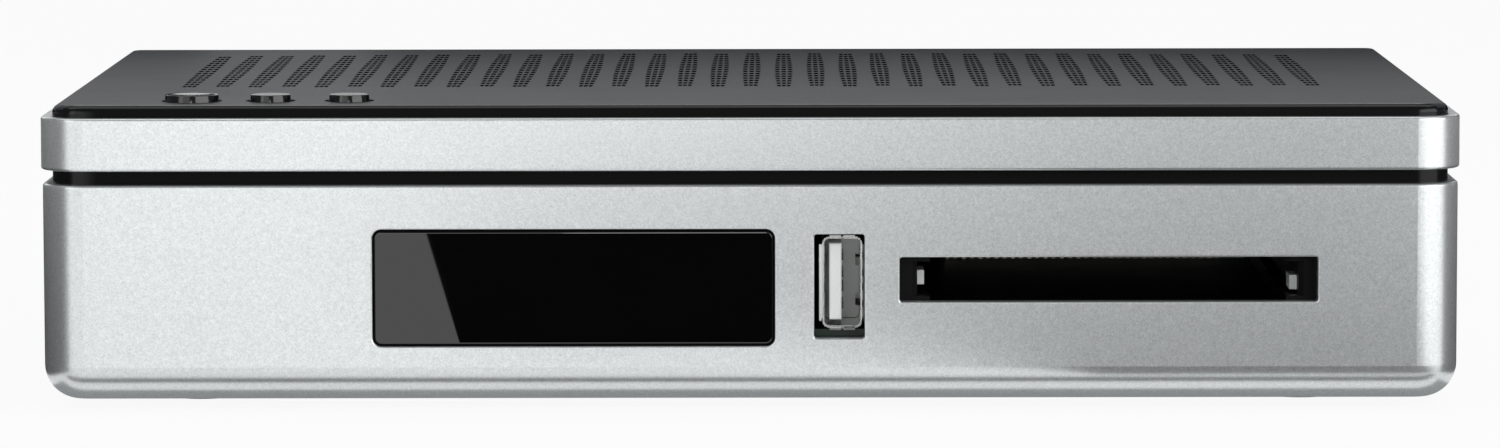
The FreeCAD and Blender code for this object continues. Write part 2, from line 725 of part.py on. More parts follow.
def top_cover():
    """The black lid: vented top, skirt with a locating tongue, button collars and posts."""
    y = (COVER_FRONT, REAR)
    corner = CORNER_RADIUS - LEDGE
    outer = rounded_plan(both(COVER_HALF), y, (RIM_Z, TOP_Z), corner, COVER_REAR_RADIUS)
    outer = eased(outer, TOP_RADIUS, lambda p: near(p.z, TOP_Z))
    inner_corner = max(corner - COVER_WALL, 0.5)
    inner_y = (COVER_FRONT + COVER_WALL, REAR + THROUGH)
    hollow = rounded_plan(both(COVER_INNER_HALF), inner_y, (RIM_Z - THROUGH, CEILING_Z), inner_corner, 0)
    made = outer.cut(hollow)
    tongue_y = (FRONT + WALL + TONGUE_GAP, PANEL_FRONT - PANEL_GAP - PANEL_RIB - 1.0)
    tongue_z = (RIM_Z - TONGUE_DEPTH, RIM_Z + TONGUE_DEPTH / 2)
    tongue_corner = max(CORNER_RADIUS - WALL - TONGUE_GAP, 0.5)
    tongue = rounded_plan(both(HALF - WALL - TONGUE_GAP), tongue_y, tongue_z, tongue_corner, 0)
    tongue_hollow_y = (inner_y[0], tongue_y[1] + THROUGH)
    tongue = tongue.cut(rounded_plan(both(COVER_INNER_HALF), tongue_hollow_y, (0, TOP_Z), inner_corner, 0))
    pieces = [made, tongue]
    rear_z = (CEILING_Z - PANEL_HOLD, CEILING_Z + COVER_TOP / 2)
    rear_x = both(COVER_INNER_HALF + COVER_WALL / 2)
    pieces.append(block(rear_x, (PANEL_REAR + PANEL_GAP / 2, REAR - REAR_LIP / 4), rear_z))
    pieces.append(block(rear_x, (PANEL_FRONT - PANEL_GAP - PANEL_RIB, PANEL_FRONT - PANEL_GAP), rear_z))
    post_top = CEILING_Z + COVER_TOP / 2
    post_z = case_post_z()
    pieces += [upright(x, y, post_z, CASE_BOSS_RADIUS, post_top - post_z) for x, y in case_screw_places()]
    post_z = button_board_z()
    height = post_top - post_z
    pieces += [upright(x, y, post_z, BUTTON_POST_RADIUS, height) for x, y in button_post_places()]
    for x, hole in zip(BUTTON_X, button_holes()):
        collar_z = CEILING_Z - COLLAR_DEPTH
        pieces.append(upright(x, button_y(), collar_z, hole + COLLAR_WALL, post_top - collar_z))
    made = joined(pieces)
    holes = vent_slots() + band_tabs(BAND_GAP)
    holes += [upright(x, button_y(), RIM_Z, hole, TOP_Z) for x, hole in zip(BUTTON_X, button_holes())]
    depth = CASE_SCREW_BITE + SCREW_TIP_ROOM + THROUGH
    foot = case_post_z() - THROUGH
    holes += [upright(x, y, foot, CASE_SCREW_RADIUS + SCREW_GAP, depth) for x, y in case_screw_places()]
    depth = BUTTON_SCREW_BITE + SCREW_TIP_ROOM + THROUGH
    foot = button_board_z() - THROUGH
    holes += [upright(x, y, foot, BUTTON_SCREW_RADIUS + SCREW_GAP, depth) for x, y in button_post_places()]
    return made.cut(holes)


def trim_band():
    """The silver band clipped round the front and sides of the cover, above the shadow gap."""
    half = HALF + BAND_PROUD
    spare = CORNER_RADIUS * 3
    y = (FRONT - BAND_PROUD, REAR + spare)
    z = (BAND_Z, BAND_TOP_Z)
    corner = CORNER_RADIUS + BAND_PROUD
    outer = rounded_plan(both(half), y, z, corner, corner)
    outer = eased(outer, EASED_EDGE, lambda p: near(p.z, z[0]) or near(p.z, z[1]))
    inner_half = COVER_HALF + BAND_GAP
    inner_y = (COVER_FRONT - BAND_GAP, REAR + 2 * spare)
    inner_z = (z[0] - THROUGH, z[1] + THROUGH)
    made = outer.cut(rounded_plan(both(inner_half), inner_y, inner_z, CORNER_RADIUS - LEDGE + BAND_GAP, 0))
    made = made.cut(block(both(HOUSING_WIDTH), (REAR - BAND_SETBACK, REAR + 2 * spare), inner_z))
    return joined([made] + band_tabs(0))


def cutout(centre_x, low_z, width, height):
    """A rectangular cut through the panel for a socket of this width and height, with a gap round it."""
    x = (centre_x - width / 2 - CUTOUT_GAP, centre_x + width / 2 + CUTOUT_GAP)
    z = (low_z - CUTOUT_GAP, low_z + height + CUTOUT_GAP)
    return block(x, (PANEL_FRONT - THROUGH, PANEL_REAR + THROUGH), z)


def panel_cutouts():
    """What passes through the rear panel, each with a gap round it."""
    y = PANEL_FRONT - THROUGH
    length = PANEL_THICKNESS + 2 * THROUGH
    cuts = [lying(x, y, BOARD_Z + LNB_RISE, LNB_RADIUS + CUTOUT_GAP, length) for x in LNB_X]
    cuts += [lying(x, y, z, RCA_RADIUS + CUTOUT_GAP, length) for x, z in rca_places()]
    cuts += [lying(x, y, z, SERIAL_SHANK_RADIUS + CUTOUT_GAP, length) for x, z in serial_screw_places()]
    cuts.append(polygon_prism(serial_outline(CUTOUT_GAP), (y, y + length)))
    cuts.append(cutout(SCART_X, BOARD_Z, SCART_WIDTH, SCART_HEIGHT))
    cuts.append(cutout(HDMI_X, BOARD_Z + HDMI_RISE, HDMI_WIDTH, HDMI_HEIGHT))
    cuts.append(cutout(DC_X, BOARD_Z, DC_WIDTH, DC_HEIGHT))
    return cuts


def rear_panel():
    """The black sheet-steel panel that drops into the groove at the rear of the tub."""
    half = COVER_INNER_HALF - PANEL_GAP
    z = (FLOOR_Z + PANEL_GAP / 2, CEILING_Z - PANEL_GAP)
    made = block(both(half), (PANEL_FRONT, PANEL_REAR), z)
    low = [e for e in made.Edges if near(e.CenterOfMass.z, z[0]) and near(abs(e.CenterOfMass.x), half)]
    made = made.makeFillet(max(BOTTOM_RADIUS - WALL, 0.5), low)
    return made.cut(panel_cutouts())


def rubber_feet():
    feet = []
    for x, y in foot_places():
        foot = upright(x, y, 0, FOOT_RADIUS, FOOT_HEIGHT + FOOT_RECESS)
        feet.append(foot.makeChamfer(EASED_EDGE, edges_where(foot, lambda p: near(p.z, 0))))
    return feet


def case_screws():
    """Pan-head screws from below the tub into the posts of the cover."""
    screws = []
    for x, y in case_screw_places():
        seat = BASE_Z + CASE_HEAD_SINK
        head = upright(x, y, seat - CASE_HEAD_HEIGHT, CASE_HEAD_RADIUS, CASE_HEAD_HEIGHT)
        tip = case_post_z() + CASE_SCREW_BITE
        shank = upright(x, y, seat - 0.1, CASE_SCREW_RADIUS, tip - seat + 0.1)
        cross = []
        for width, depth in ((CROSS_LENGTH, CROSS_WIDTH), (CROSS_WIDTH, CROSS_LENGTH)):
            cross.append(block_at(x, y, seat - CASE_HEAD_HEIGHT, width, depth, CROSS_DEPTH))
        screws.append(joined([head, shank]).cut(cross))
    return screws


# ---------------------------------------------------------------- display
def display_window():
    """The smoked window: it fills the opening and its flange seats on the wall from inside."""
    x, z = window_span(-WINDOW_GAP)
    face_y = FRONT + WINDOW_RECESS
    face = front_prism(x, z, (face_y, FRONT + WALL + 0.2), WINDOW_RADIUS - WINDOW_GAP)
    face = eased(face, WINDOW_EDGE, lambda p: near(p.y, face_y))
    x, z = window_span(WINDOW_FLANGE)
    flange = front_prism(x, z, (FRONT + WALL, FRONT + WALL + WINDOW_FLANGE_THICKNESS), WINDOW_RADIUS)
    return joined([face, flange])


def led_display():
    """A four-digit display block with the digits' segments sunk a little in its face."""
    front, _ = display_board_faces()
    centre_z = BASE_Z + WINDOW_Z
    face_y = front - DISPLAY_DEPTH
    low_z = centre_z - DISPLAY_HEIGHT / 2
    x = (WINDOW_X - DISPLAY_WIDTH / 2, WINDOW_X + DISPLAY_WIDTH / 2)
    made = block(x, (face_y, front), (low_z, low_z + DISPLAY_HEIGHT))
    pitch = DISPLAY_WIDTH / DIGITS
    bar = SEGMENT_WIDTH
    wide = DIGIT_WIDTH
    tall = DIGIT_HEIGHT / 2
    cuts = []
    for digit in range(DIGITS):
        x = WINDOW_X + (digit - (DIGITS - 1) / 2) * pitch
        for level in (-1, 0, 1):
            cuts.append(segment(x + level * tall * DIGIT_SLOPE, face_y, centre_z + level * tall, wide, bar))
        for side in (-1, 1):
            for level in (-0.5, 0.5):
                place_x = x + side * (wide / 2 + bar * 0.6) + level * tall * DIGIT_SLOPE
                cuts.append(segment(place_x, face_y, centre_z + level * tall, bar, tall - bar * 1.2))
    return made.cut(cuts)


def segment(x, y, z, width, height):
    """One bar of a digit, as a shallow cut that leans with the digit."""
    lean = height / 2 * DIGIT_SLOPE
    points = [
        (x - width / 2 - lean, z - height / 2),
        (x + width / 2 - lean, z - height / 2),
        (x + width / 2 + lean, z + height / 2),
        (x - width / 2 + lean, z + height / 2),
    ]
    return polygon_prism(points, (y - THROUGH, y + SEGMENT_DEPTH))


def infrared_receiver():
    """A boxed receiver with a half-round lens."""
    front, _ = display_board_faces()
    x = WINDOW_X + RECEIVER_OFFSET
    z = BASE_Z + WINDOW_Z
    side = RECEIVER_SIDE
    body = block_at(x, front - RECEIVER_DEPTH / 2, z - side / 2, side, RECEIVER_DEPTH, side)
    lens = Part.makeSphere(RECEIVER_LENS_RADIUS, Vector(x, front - RECEIVER_DEPTH, z))
    return joined([body, lens])


def standby_lamp():
    front, _ = display_board_faces()
    x = WINDOW_X + LAMP_OFFSET
    z = BASE_Z + WINDOW_Z
    body = lying(x, front - LAMP_LENGTH, z, LAMP_RADIUS, LAMP_LENGTH)
    dome = Part.makeSphere(LAMP_RADIUS, Vector(x, front - LAMP_LENGTH, z))
    rim = lying(x, front - 1.0, z, LAMP_RADIUS + 0.3, 1.0)
    return joined([body, dome, rim])


def display_board():
    front, back = display_board_faces()
    z = FLOOR_Z + DISPLAY_BOARD_DROP
    return block(display_board_x(), (front, back), (z, z + DISPLAY_BOARD_HEIGHT))


def display_header():
    """A right-angle pin header that joins the display board to the main board."""
    _, back = display_board_faces()
    reach = FRONT + BOARD_NOTCH_FRONT
    low = BOARD_Z + STRIP_RISE
    body_x = (WINDOW_X - STRIP_PINS * STRIP_PITCH / 2, WINDOW_X + STRIP_PINS * STRIP_PITCH / 2)
    made = [block(body_x, (back, reach), (low, low + STRIP_PITCH))]
    half = STRIP_PIN / 2
    run_z = (low + STRIP_PITCH / 2 - half, low + STRIP_PITCH / 2 + half)
    for pin in range(STRIP_PINS):
        x = WINDOW_X + (pin - (STRIP_PINS - 1) / 2) * STRIP_PITCH
        run = block((x - half, x + half), (reach, reach + STRIP_REACH), run_z)
        drop_y = (reach + STRIP_REACH - STRIP_PIN, reach + STRIP_REACH)
        made.append(joined([run, block((x - half, x + half), drop_y, (BOARD_Z, run_z[1]))]))
    return made


# ---------------------------------------------------------------- buttons
def button_levels():
    """Heights of the flange's underside, the stem's foot and the switch's top."""
    flange = CEILING_Z - COLLAR_DEPTH - STOP_GAP - FLANGE_THICKNESS
    stem = flange - STEM_LENGTH
    return flange, stem, stem - PLUNGER_SHOWN


def button_cap(number):
    """A dished round cap with a flange below the collar and a stem down to the switch.

    The power button's dish can be felt with a finger; the other two are almost flat.
    """
    x = BUTTON_X[number]
    y = button_y()
    radius = BUTTON_RADII[number]
    flange_z, stem_z, _ = button_levels()
    top = TOP_Z + BUTTON_PROUD
    head = eased(upright(x, y, flange_z, radius, top - flange_z), BUTTON_EDGE, lambda p: near(p.z, top))
    rim = radius - 2 * BUTTON_EDGE
    dish = SMALL_BUTTON_DISH if number else BUTTON_DISH
    ball = (rim ** 2 + dish ** 2) / (2 * dish)
    head = head.cut(Part.makeSphere(ball, Vector(x, y, top - dish + ball)))
    flange = upright(x, y, flange_z, button_holes()[number] + FLANGE_OVERLAP, FLANGE_THICKNESS)
    stem = upright(x, y, stem_z, STEM_RADIUS, flange_z - stem_z + 0.2)
    return joined([head, flange, stem])


def switch_plunger(number):
    _, stem_z, switch_z = button_levels()
    height = PLUNGER_SHOWN + PLUNGER_HIDDEN
    return upright(BUTTON_X[number], button_y(), stem_z - height, PLUNGER_RADIUS, height)


def button_switches():
    """Tact switches: square bodies with a pocket in which each plunger runs."""
    _, _, switch_z = button_levels()
    pocket = PLUNGER_HIDDEN + BUTTON_TRAVEL + PLUNGER_GAP
    bodies = []
    for x in BUTTON_X:
        body = block_at(x, button_y(), switch_z - SWITCH_HEIGHT, SWITCH_SIDE, SWITCH_SIDE, SWITCH_HEIGHT)
        well = upright(x, button_y(), switch_z - pocket, PLUNGER_RADIUS + PLUNGER_GAP, pocket + THROUGH)
        bodies.append(body.cut(well))
    return bodies


def button_board():
    z = button_board_z()
    x = (BUTTON_X[0] - BUTTON_BOARD_MARGIN_X, BUTTON_X[-1] + BUTTON_BOARD_MARGIN_X)
    y = (button_y() - BUTTON_BOARD_FRONT, button_y() + BUTTON_BOARD_REAR)
    made = block(x, y, (z - BOARD_THICKNESS, z))
    low = z - BOARD_THICKNESS - THROUGH
    height = BOARD_THICKNESS + 2 * THROUGH
    radius = BUTTON_SCREW_RADIUS + BOARD_HOLE_GAP
    return made.cut([upright(px, py, low, radius, height) for px, py in button_post_places()])


def button_board_screws():
    screws = []
    for x, y in button_post_places():
        under = button_board_z() - BOARD_THICKNESS
        head = upright(x, y, under - BUTTON_SCREW_HEAD_HEIGHT, BUTTON_SCREW_HEAD, BUTTON_SCREW_HEAD_HEIGHT)
        shank = upright(x, y, under - 0.1, BUTTON_SCREW_RADIUS, BOARD_THICKNESS + BUTTON_SCREW_BITE + 0.1)
        screws.append(joined([head, shank]))
    return screws


def ribbon_ends():
    """Y and Z where the ribbon leaves the button board's plug and enters the main board's plug."""
    upper = (FRONT + RIBBON_INSET, button_board_z() - BOARD_THICKNESS - RIBBON_PLUG_HEIGHT)
    lower = (FRONT + RIBBON_INSET + RIBBON_SHIFT, BOARD_Z + RIBBON_PLUG_HEIGHT)
    return upper, lower


def ribbon_plugs():
    upper, lower = ribbon_ends()
    size = (RIBBON_PLUG_WIDTH, RIBBON_PLUG_DEPTH, RIBBON_PLUG_HEIGHT)
    return [block_at(RIBBON_X, upper[0], upper[1], *size), block_at(RIBBON_X, lower[0], BOARD_Z, *size)]


def button_ribbon():
    """The flat cable from the button board down to the main board, in one gentle S."""
    upper, lower = ribbon_ends()
    turn = math.acos(1 - RIBBON_SHIFT / (2 * RIBBON_RADIUS))
    drop = 2 * RIBBON_RADIUS * math.sin(turn)
    run = (upper[1] - lower[1] - drop) / 2
    top = Vector(RIBBON_X, upper[0], upper[1])
    first = Vector(RIBBON_X, upper[0], upper[1] - run)
    last = Vector(RIBBON_X, lower[0], lower[1] + run)
    foot = Vector(RIBBON_X, lower[0], lower[1])
    half_way = (first + last) * 0.5
    bulge = RIBBON_RADIUS * (1 - math.cos(turn / 2))
    fall = RIBBON_RADIUS * math.sin(turn / 2)
    upper_mid = Vector(RIBBON_X, first.y + bulge, first.z - fall)
    lower_mid = Vector(RIBBON_X, last.y - bulge, last.z + fall)
    edges = [
        Part.LineSegment(top, first).toShape(),
        Part.Arc(first, upper_mid, half_way).toShape(),
        Part.Arc(half_way, lower_mid, last).toShape(),
        Part.LineSegment(last, foot).toShape(),
    ]
    wide, thin = RIBBON_WIDTH / 2, RIBBON_THICKNESS / 2
    section = ((-wide, -thin), (wide, -thin), (wide, thin), (-wide, thin))
    corners = [top + Vector(px, py, 0) for px, py in section]
    profile = Part.makePolygon(corners + corners[:1])
    return Part.Wire(edges).makePipeShell([profile], True, False)


# ---------------------------------------------------------------- USB socket
def usb_frame():
    """Half width, half height, centre Z, front and back of the shell's straight part."""
    front = FRONT + WALL + USB_WALL_GAP + USB_LIP_LENGTH
    return USB_WIDTH / 2, USB_HEIGHT / 2, BASE_Z + USB_Z, front, front + USB_LENGTH


def usb_lip(edge, side, reach, front):
    """The section of a lip that flares from a wall's edge: pairs of a cross place and a Y place."""
    return [
        (edge - side * USB_SHEET, front + USB_SHEET),
        (edge, front + USB_SHEET),
        (edge + side * reach, front - USB_LIP_LENGTH + USB_SHEET / 2),
        (edge + side * (reach - USB_SHEET), front - USB_LIP_LENGTH),
    ]


def usb_shell():
    """The folded steel shell with its flared lips, leaf springs and legs."""
    half_x, half_z, z, front, back = usb_frame()
    outer_x = (USB_X - half_x, USB_X + half_x)
    outer = front_prism(outer_x, (z - half_z, z + half_z), (front, back), USB_CORNER)
    inner_x = (USB_X - half_x + USB_SHEET, USB_X + half_x - USB_SHEET)
    inner_z = (z - half_z + USB_SHEET, z + half_z - USB_SHEET)
    hollow = front_prism(inner_x, inner_z, (front - THROUGH, back + THROUGH), USB_CORNER - USB_SHEET)
    pieces = [outer.cut(hollow)]
    for side, rise in zip((-1, 1), USB_SPRING_RISES):
        lip = usb_lip(USB_X + side * half_x, side, USB_LIP_REACH, front)
        pieces.append(plan_prism(lip, (z - half_z + USB_LIP_MARGIN, z + half_z - USB_LIP_MARGIN)))
        rest = USB_X + side * (half_x - USB_SHEET / 2)
        crest = USB_X + side * (half_x - USB_SHEET - rise)
        spring = [
            (rest, front + USB_SPRING_START),
            (crest, front + USB_SPRING_START + USB_SPRING_LENGTH * 0.4),
            (crest, front + USB_SPRING_START + USB_SPRING_LENGTH * 0.6),
            (rest, front + USB_SPRING_START + USB_SPRING_LENGTH),
        ]
        for low in (z - USB_SPRING_Z - USB_SPRING_WIDTH / 2, z + USB_SPRING_Z - USB_SPRING_WIDTH / 2):
            pieces.append(plan_prism(spring, (low, low + USB_SPRING_WIDTH)))
    length = half_x - USB_LIP_MARGIN - USB_SEAM / 2
    for side in (-1, 1):
        lip = usb_lip(z + side * half_z, side, USB_END_LIP_REACH, front)
        corners = [Vector(0, py, pz) for pz, py in lip]
        face = Part.Face(Part.makePolygon(corners + corners[:1]))
        for x in (USB_X - USB_SEAM / 2 - length, USB_X + USB_SEAM / 2):
            pieces.append(face.translated(Vector(x, 0, 0)).extrude(Vector(length, 0, 0)))
    foot = z - half_z + USB_SHEET / 2
    for y in (front + USB_LEG_INSET, back - USB_LEG_INSET):
        pieces.append(block_at(USB_X, y, BOARD_Z, USB_LEG_WIDTH, USB_LEG, foot - BOARD_Z))
    return joined(pieces)


def usb_tongue():
    """The white insulator: a tongue on a base that fills the back of the shell."""
    half_x, half_z, z, front, back = usb_frame()
    inner_x = USB_X - half_x + USB_SHEET
    fit = USB_FIT
    base_x = (inner_x + fit, USB_X + half_x - USB_SHEET - fit)
    base_z = (z - half_z + USB_SHEET + fit, z + half_z - USB_SHEET - fit)
    base = front_prism(base_x, base_z, (back - USB_BASE, back - USB_SHEET), USB_CORNER - USB_SHEET)
    tongue_x = (inner_x + USB_TONGUE_GAP, inner_x + USB_TONGUE_GAP + USB_TONGUE)
    tongue_z = (z - USB_TONGUE_HEIGHT / 2, z + USB_TONGUE_HEIGHT / 2)
    tongue = block(tongue_x, (front + USB_TONGUE_INSET, back - USB_BASE + 0.2), tongue_z)
    tongue = eased(tongue, 0.3, lambda p: near(p.y, front + USB_TONGUE_INSET))
    return joined([base, tongue])


def usb_contacts():
    half_x, _, z, front, _ = usb_frame()
    x = USB_X - half_x + USB_SHEET + USB_TONGUE_GAP + USB_TONGUE
    y = front + USB_TONGUE_INSET + USB_CONTACT_INSET
    made = []
    for offset in USB_CONTACT_Z:
        low = z + offset - USB_CONTACT_WIDTH / 2
        contact_z = (low, low + USB_CONTACT_WIDTH)
        made.append(block((x, x + USB_CONTACT_THICKNESS), (y, y + USB_CONTACT_LENGTH), contact_z))
    return made


# ---------------------------------------------------------------- card slot
def header_faces():
    return HEADER_FRONT, HEADER_FRONT + HEADER_DEPTH


def card_groove_z():
    return BASE_Z + SLOT_Z - CARD_GROOVE_DROP


def tray_z():
    """The upper face of the guide's floor."""
    return card_groove_z() - CARD_GROOVE / 2 - TRAY_DROP


def card_pins():
    """Two rows of pins: tips in front of the header, tails that drop from it to the main board.

    The tails of odd and even columns stand in separate rows, so that their pads have room.
    """
    front, _ = header_faces()
    half = PIN_SIDE / 2
    pins = []
    for rise, tail_places in zip((-PIN_PITCH / 2, PIN_PITCH / 2), PIN_TAIL_ROWS):
        z = card_groove_z() + rise
        for column in range(PIN_COLUMNS):
            x = SLOT_X + (column - (PIN_COLUMNS - 1) / 2) * PIN_PITCH
            tail_y = front + tail_places[column % 2]
            run = block((x - half, x + half), (front - PIN_TIP, tail_y + half), (z - half, z + half))
            drop = block((x - half, x + half), (tail_y - half, tail_y + half), (BOARD_Z, z + half))
            pins.append(joined([run, drop]))
    return pins


def guide_arm(side):
    """One grooved arm of the card guide: the groove's mouth widens towards the front."""
    groove_z = card_groove_z()
    y = (FRONT + WALL + GUIDE_FRONT_GAP, header_faces()[1])
    z = (tray_z() - TRAY_THICKNESS, groove_z + CARD_GROOVE / 2 + GUIDE_ROOF)
    inner = SLOT_X + side * CARD_BODY_WIDTH / 2
    edge = SLOT_X + side * CARD_WIDTH / 2
    arm = block(sorted((inner, SLOT_X + side * GUIDE_OUTER_WIDTH / 2)), y, z)
    groove = [
        (inner - side * THROUGH, y[0] - THROUGH),
        (edge + side * (CARD_LEAD_IN + THROUGH), y[0] - THROUGH),
        (edge, y[0] + CARD_LEAD_IN),
        (edge, header_faces()[0]),
        (inner - side * THROUGH, header_faces()[0]),
    ]
    arm = arm.cut(plan_prism(groove, (groove_z - CARD_GROOVE / 2, groove_z + CARD_GROOVE / 2)))
    foot_x = sorted((SLOT_X + side * GUIDE_OUTER_WIDTH / 2, edge))
    feet = []
    for inset in GUIDE_FOOT_INSETS:
        foot_y = (FRONT + inset, FRONT + inset + GUIDE_FOOT_LENGTH)
        feet.append(block(foot_x, foot_y, (BOARD_Z, z[0] + TRAY_THICKNESS / 2)))
    return joined([arm] + feet)


def card_guide():
    """The black card guide: a floor between two grooved arms, joined by the header that holds the pins."""
    front, back = header_faces()
    groove_z = card_groove_z()
    across = both(CARD_BODY_WIDTH / 2 + THROUGH)
    span = (SLOT_X + across[0], SLOT_X + across[1])
    tray = block(span, (FRONT + WALL + GUIDE_FRONT_GAP, front), (tray_z() - TRAY_THICKNESS, tray_z()))
    header = block(span, (front, back), (groove_z - HEADER_BELOW, groove_z + HEADER_ABOVE))
    return joined([tray, header, guide_arm(-1), guide_arm(1)]).cut(card_pins())


def card_key_ribs():
    """The two pale ribs in the grooves that stop a card going in the wrong way up."""
    start = FRONT + WALL + GUIDE_FRONT_GAP + KEY_RIB_INSET
    ribs = []
    for side, offset in zip((-1, 1), KEY_RIB_OFFSETS):
        outer = SLOT_X + side * CARD_WIDTH / 2
        low = card_groove_z() + offset - KEY_RIB_HEIGHT / 2
        x = sorted((outer, outer - side * KEY_RIB_WIDTH))
        ribs.append(block(x, (start, start + KEY_RIB_LENGTH), (low, low + KEY_RIB_HEIGHT)))
    return ribs


# ---------------------------------------------------------------- main board
def main_board():
    """The main board, notched round the case bosses; its right part reaches further to the front."""
    rear = PANEL_FRONT - BOARD_REAR_GAP
    outline = [
        (-BOARD_HALF_WIDTH, FRONT + BOARD_NOTCH_FRONT),
        (BOARD_NOTCH_X, FRONT + BOARD_NOTCH_FRONT),
        (BOARD_NOTCH_X, FRONT + BOARD_FRONT),
        (BOARD_HALF_WIDTH, FRONT + BOARD_FRONT),
        (BOARD_HALF_WIDTH, rear),
        (-BOARD_HALF_WIDTH, rear),
    ]
    made = plan_prism(outline, (BOARD_Z - BOARD_THICKNESS, BOARD_Z))
    low = BOARD_Z - BOARD_THICKNESS - THROUGH
    height = BOARD_THICKNESS + 2 * THROUGH
    radius = BOARD_SCREW_RADIUS + BOARD_HOLE_GAP
    cuts = [upright(x, y, low, radius, height) for x, y in board_screw_places()]
    notch = CASE_BOSS_RADIUS + BOARD_BOSS_GAP
    for x, y in case_screw_places():
        cuts.append(upright(x, y, low, notch, height))
        cuts.append(block(sorted((x, math.copysign(HALF, x))), (y - notch, y + notch), (low, low + height)))
    return made.cut(cuts)


def main_board_screws():
    screws = []
    for x, y in board_screw_places():
        head = upright(x, y, BOARD_Z, BOARD_HEAD_RADIUS, BOARD_HEAD_HEIGHT)
        rim = edges_where(head, lambda p: near(p.z, BOARD_Z + BOARD_HEAD_HEIGHT))
        head = head.makeChamfer(EASED_EDGE, rim)
        length = BOARD_THICKNESS + BOARD_SCREW_BITE
        shank = upright(x, y, BOARD_Z - length, BOARD_SCREW_RADIUS, length + EASED_EDGE)
        screws.append(joined([head, shank]))
    return screws


def decoder_chip():
    return block_at(CHIP_X, FRONT + CHIP_Y, BOARD_Z, CHIP_SIDE, CHIP_SIDE, CHIP_HEIGHT)


def heat_sink():
    """An extruded sink with straight fins, standing on the decoder chip."""
    z = BOARD_Z + CHIP_HEIGHT
    made = block_at(CHIP_X, FRONT + CHIP_Y, z, SINK_SIDE, SINK_SIDE, SINK_HEIGHT)
    pitch = (SINK_SIDE - SINK_FIN) / (SINK_FINS - 1)
    cuts = []
    depth = SINK_SIDE + 2 * THROUGH
    for gap in range(SINK_FINS - 1):
        x = CHIP_X - SINK_SIDE / 2 + SINK_FIN + gap * pitch + (pitch - SINK_FIN) / 2
        cuts.append(block_at(x, FRONT + CHIP_Y, z + SINK_BASE, pitch - SINK_FIN, depth, SINK_HEIGHT))
    return made.cut(cuts)


def memory_chips():
    size = (MEMORY_LENGTH, MEMORY_WIDTH, MEMORY_HEIGHT)
    return [block_at(x, FRONT + y, BOARD_Z, *size) for x, y in MEMORY_SPOTS]


def capacitors():
    cans = []
    for x, y in CAPACITOR_SPOTS:
        can = upright(x, FRONT + y, BOARD_Z, CAPACITOR_RADIUS, CAPACITOR_HEIGHT)
        rim = edges_where(can, lambda p: near(p.z, BOARD_Z + CAPACITOR_HEIGHT))
        cans.append(can.makeChamfer(EASED_EDGE, rim))
    return cans


def power_coils():
    coils = []
    for x, y in COIL_SPOTS:
        base = block_at(x, FRONT + y, BOARD_Z, COIL_SIDE, COIL_SIDE, 1.0)
        drum = upright(x, FRONT + y, BOARD_Z + 0.8, COIL_SIDE / 2 - 0.4, COIL_HEIGHT - 0.8)
        coils.append(joined([base, drum]))
    return coils


# ---------------------------------------------------------------- rear sockets
def tuner_can():
    """The folded tin screen round the tuner, with a raised lid rim."""
    x = (LNB_X[0] - TUNER_MARGIN, LNB_X[1] + TUNER_MARGIN)
    y = (TUNER_FRONT + TUNER_RIM, TUNER_REAR)
    body = block(x, y, (BOARD_Z, BOARD_Z + TUNER_HEIGHT - TUNER_LID_RISE))
    lid_z = (BOARD_Z + TUNER_HEIGHT - TUNER_LID, BOARD_Z + TUNER_HEIGHT)
    lid = block((x[0] - TUNER_RIM, x[1] + TUNER_RIM), (TUNER_FRONT, TUNER_REAR), lid_z)
    return joined([body, lid])


def lnb_socket(number):
    """A threaded coaxial socket: a neck through the panel and a barrel behind it."""
    x = LNB_X[number]
    z = BOARD_Z + LNB_RISE
    end = REAR + SOCKET_REACH
    neck = lying(x, TUNER_REAR, z, LNB_NECK_RADIUS, PANEL_REAR + 0.5 - TUNER_REAR)
    barrel = lying(x, PANEL_REAR + 0.3, z, LNB_RADIUS, end - PANEL_REAR - 0.3)
    barrel = barrel.makeChamfer(EASED_EDGE, edges_where(barrel, lambda p: near(p.y, end)))
    bore = lying(x, end - LNB_BORE_DEPTH, z, LNB_BORE, LNB_BORE_DEPTH + THROUGH)
    return joined([neck, barrel]).cut(bore)


def lnb_insulators():
    made = []
    end = REAR + SOCKET_REACH
    for x in LNB_X:
        z = BOARD_Z + LNB_RISE
        length = LNB_BORE_DEPTH - LNB_INSULATOR_SINK
        core = lying(x, end - LNB_BORE_DEPTH, z, LNB_BORE, length)
        made.append(core.cut(lying(x, end - LNB_BORE_DEPTH + 1.5, z, LNB_PIN_HOLE, LNB_BORE_DEPTH)))
    return made


def scart_outline(inset):
    """The socket's outline: a rectangle with one slanted end, moved in by inset."""
    half = SCART_WIDTH / 2 - inset
    low, high = BOARD_Z + inset, BOARD_Z + SCART_HEIGHT - inset
    return [
        (SCART_X - half, low),
        (SCART_X + half - SCART_SLANT, low),
        (SCART_X + half, low + SCART_SLANT),
        (SCART_X + half, high),
        (SCART_X - half, high),
    ]


def scart_slots(width, height):
    """X and Z spans of the contact slots, in two staggered rows."""
    spans = []
    for row, rise in ((0, -SCART_SLOT_RISE), (1, SCART_SLOT_RISE)):
        z = BOARD_Z + SCART_HEIGHT / 2 + rise
        for count in range(SCART_SLOTS):
            x = SCART_X - 1.0 + (count - (SCART_SLOTS - 1) / 2 + row * 0.5 - 0.25) * SCART_SLOT_PITCH
            spans.append(((x - width / 2, x + width / 2), (z - height / 2, z + height / 2)))
    return spans


def scart_rear():
    return PANEL_REAR + SCART_SHOWN


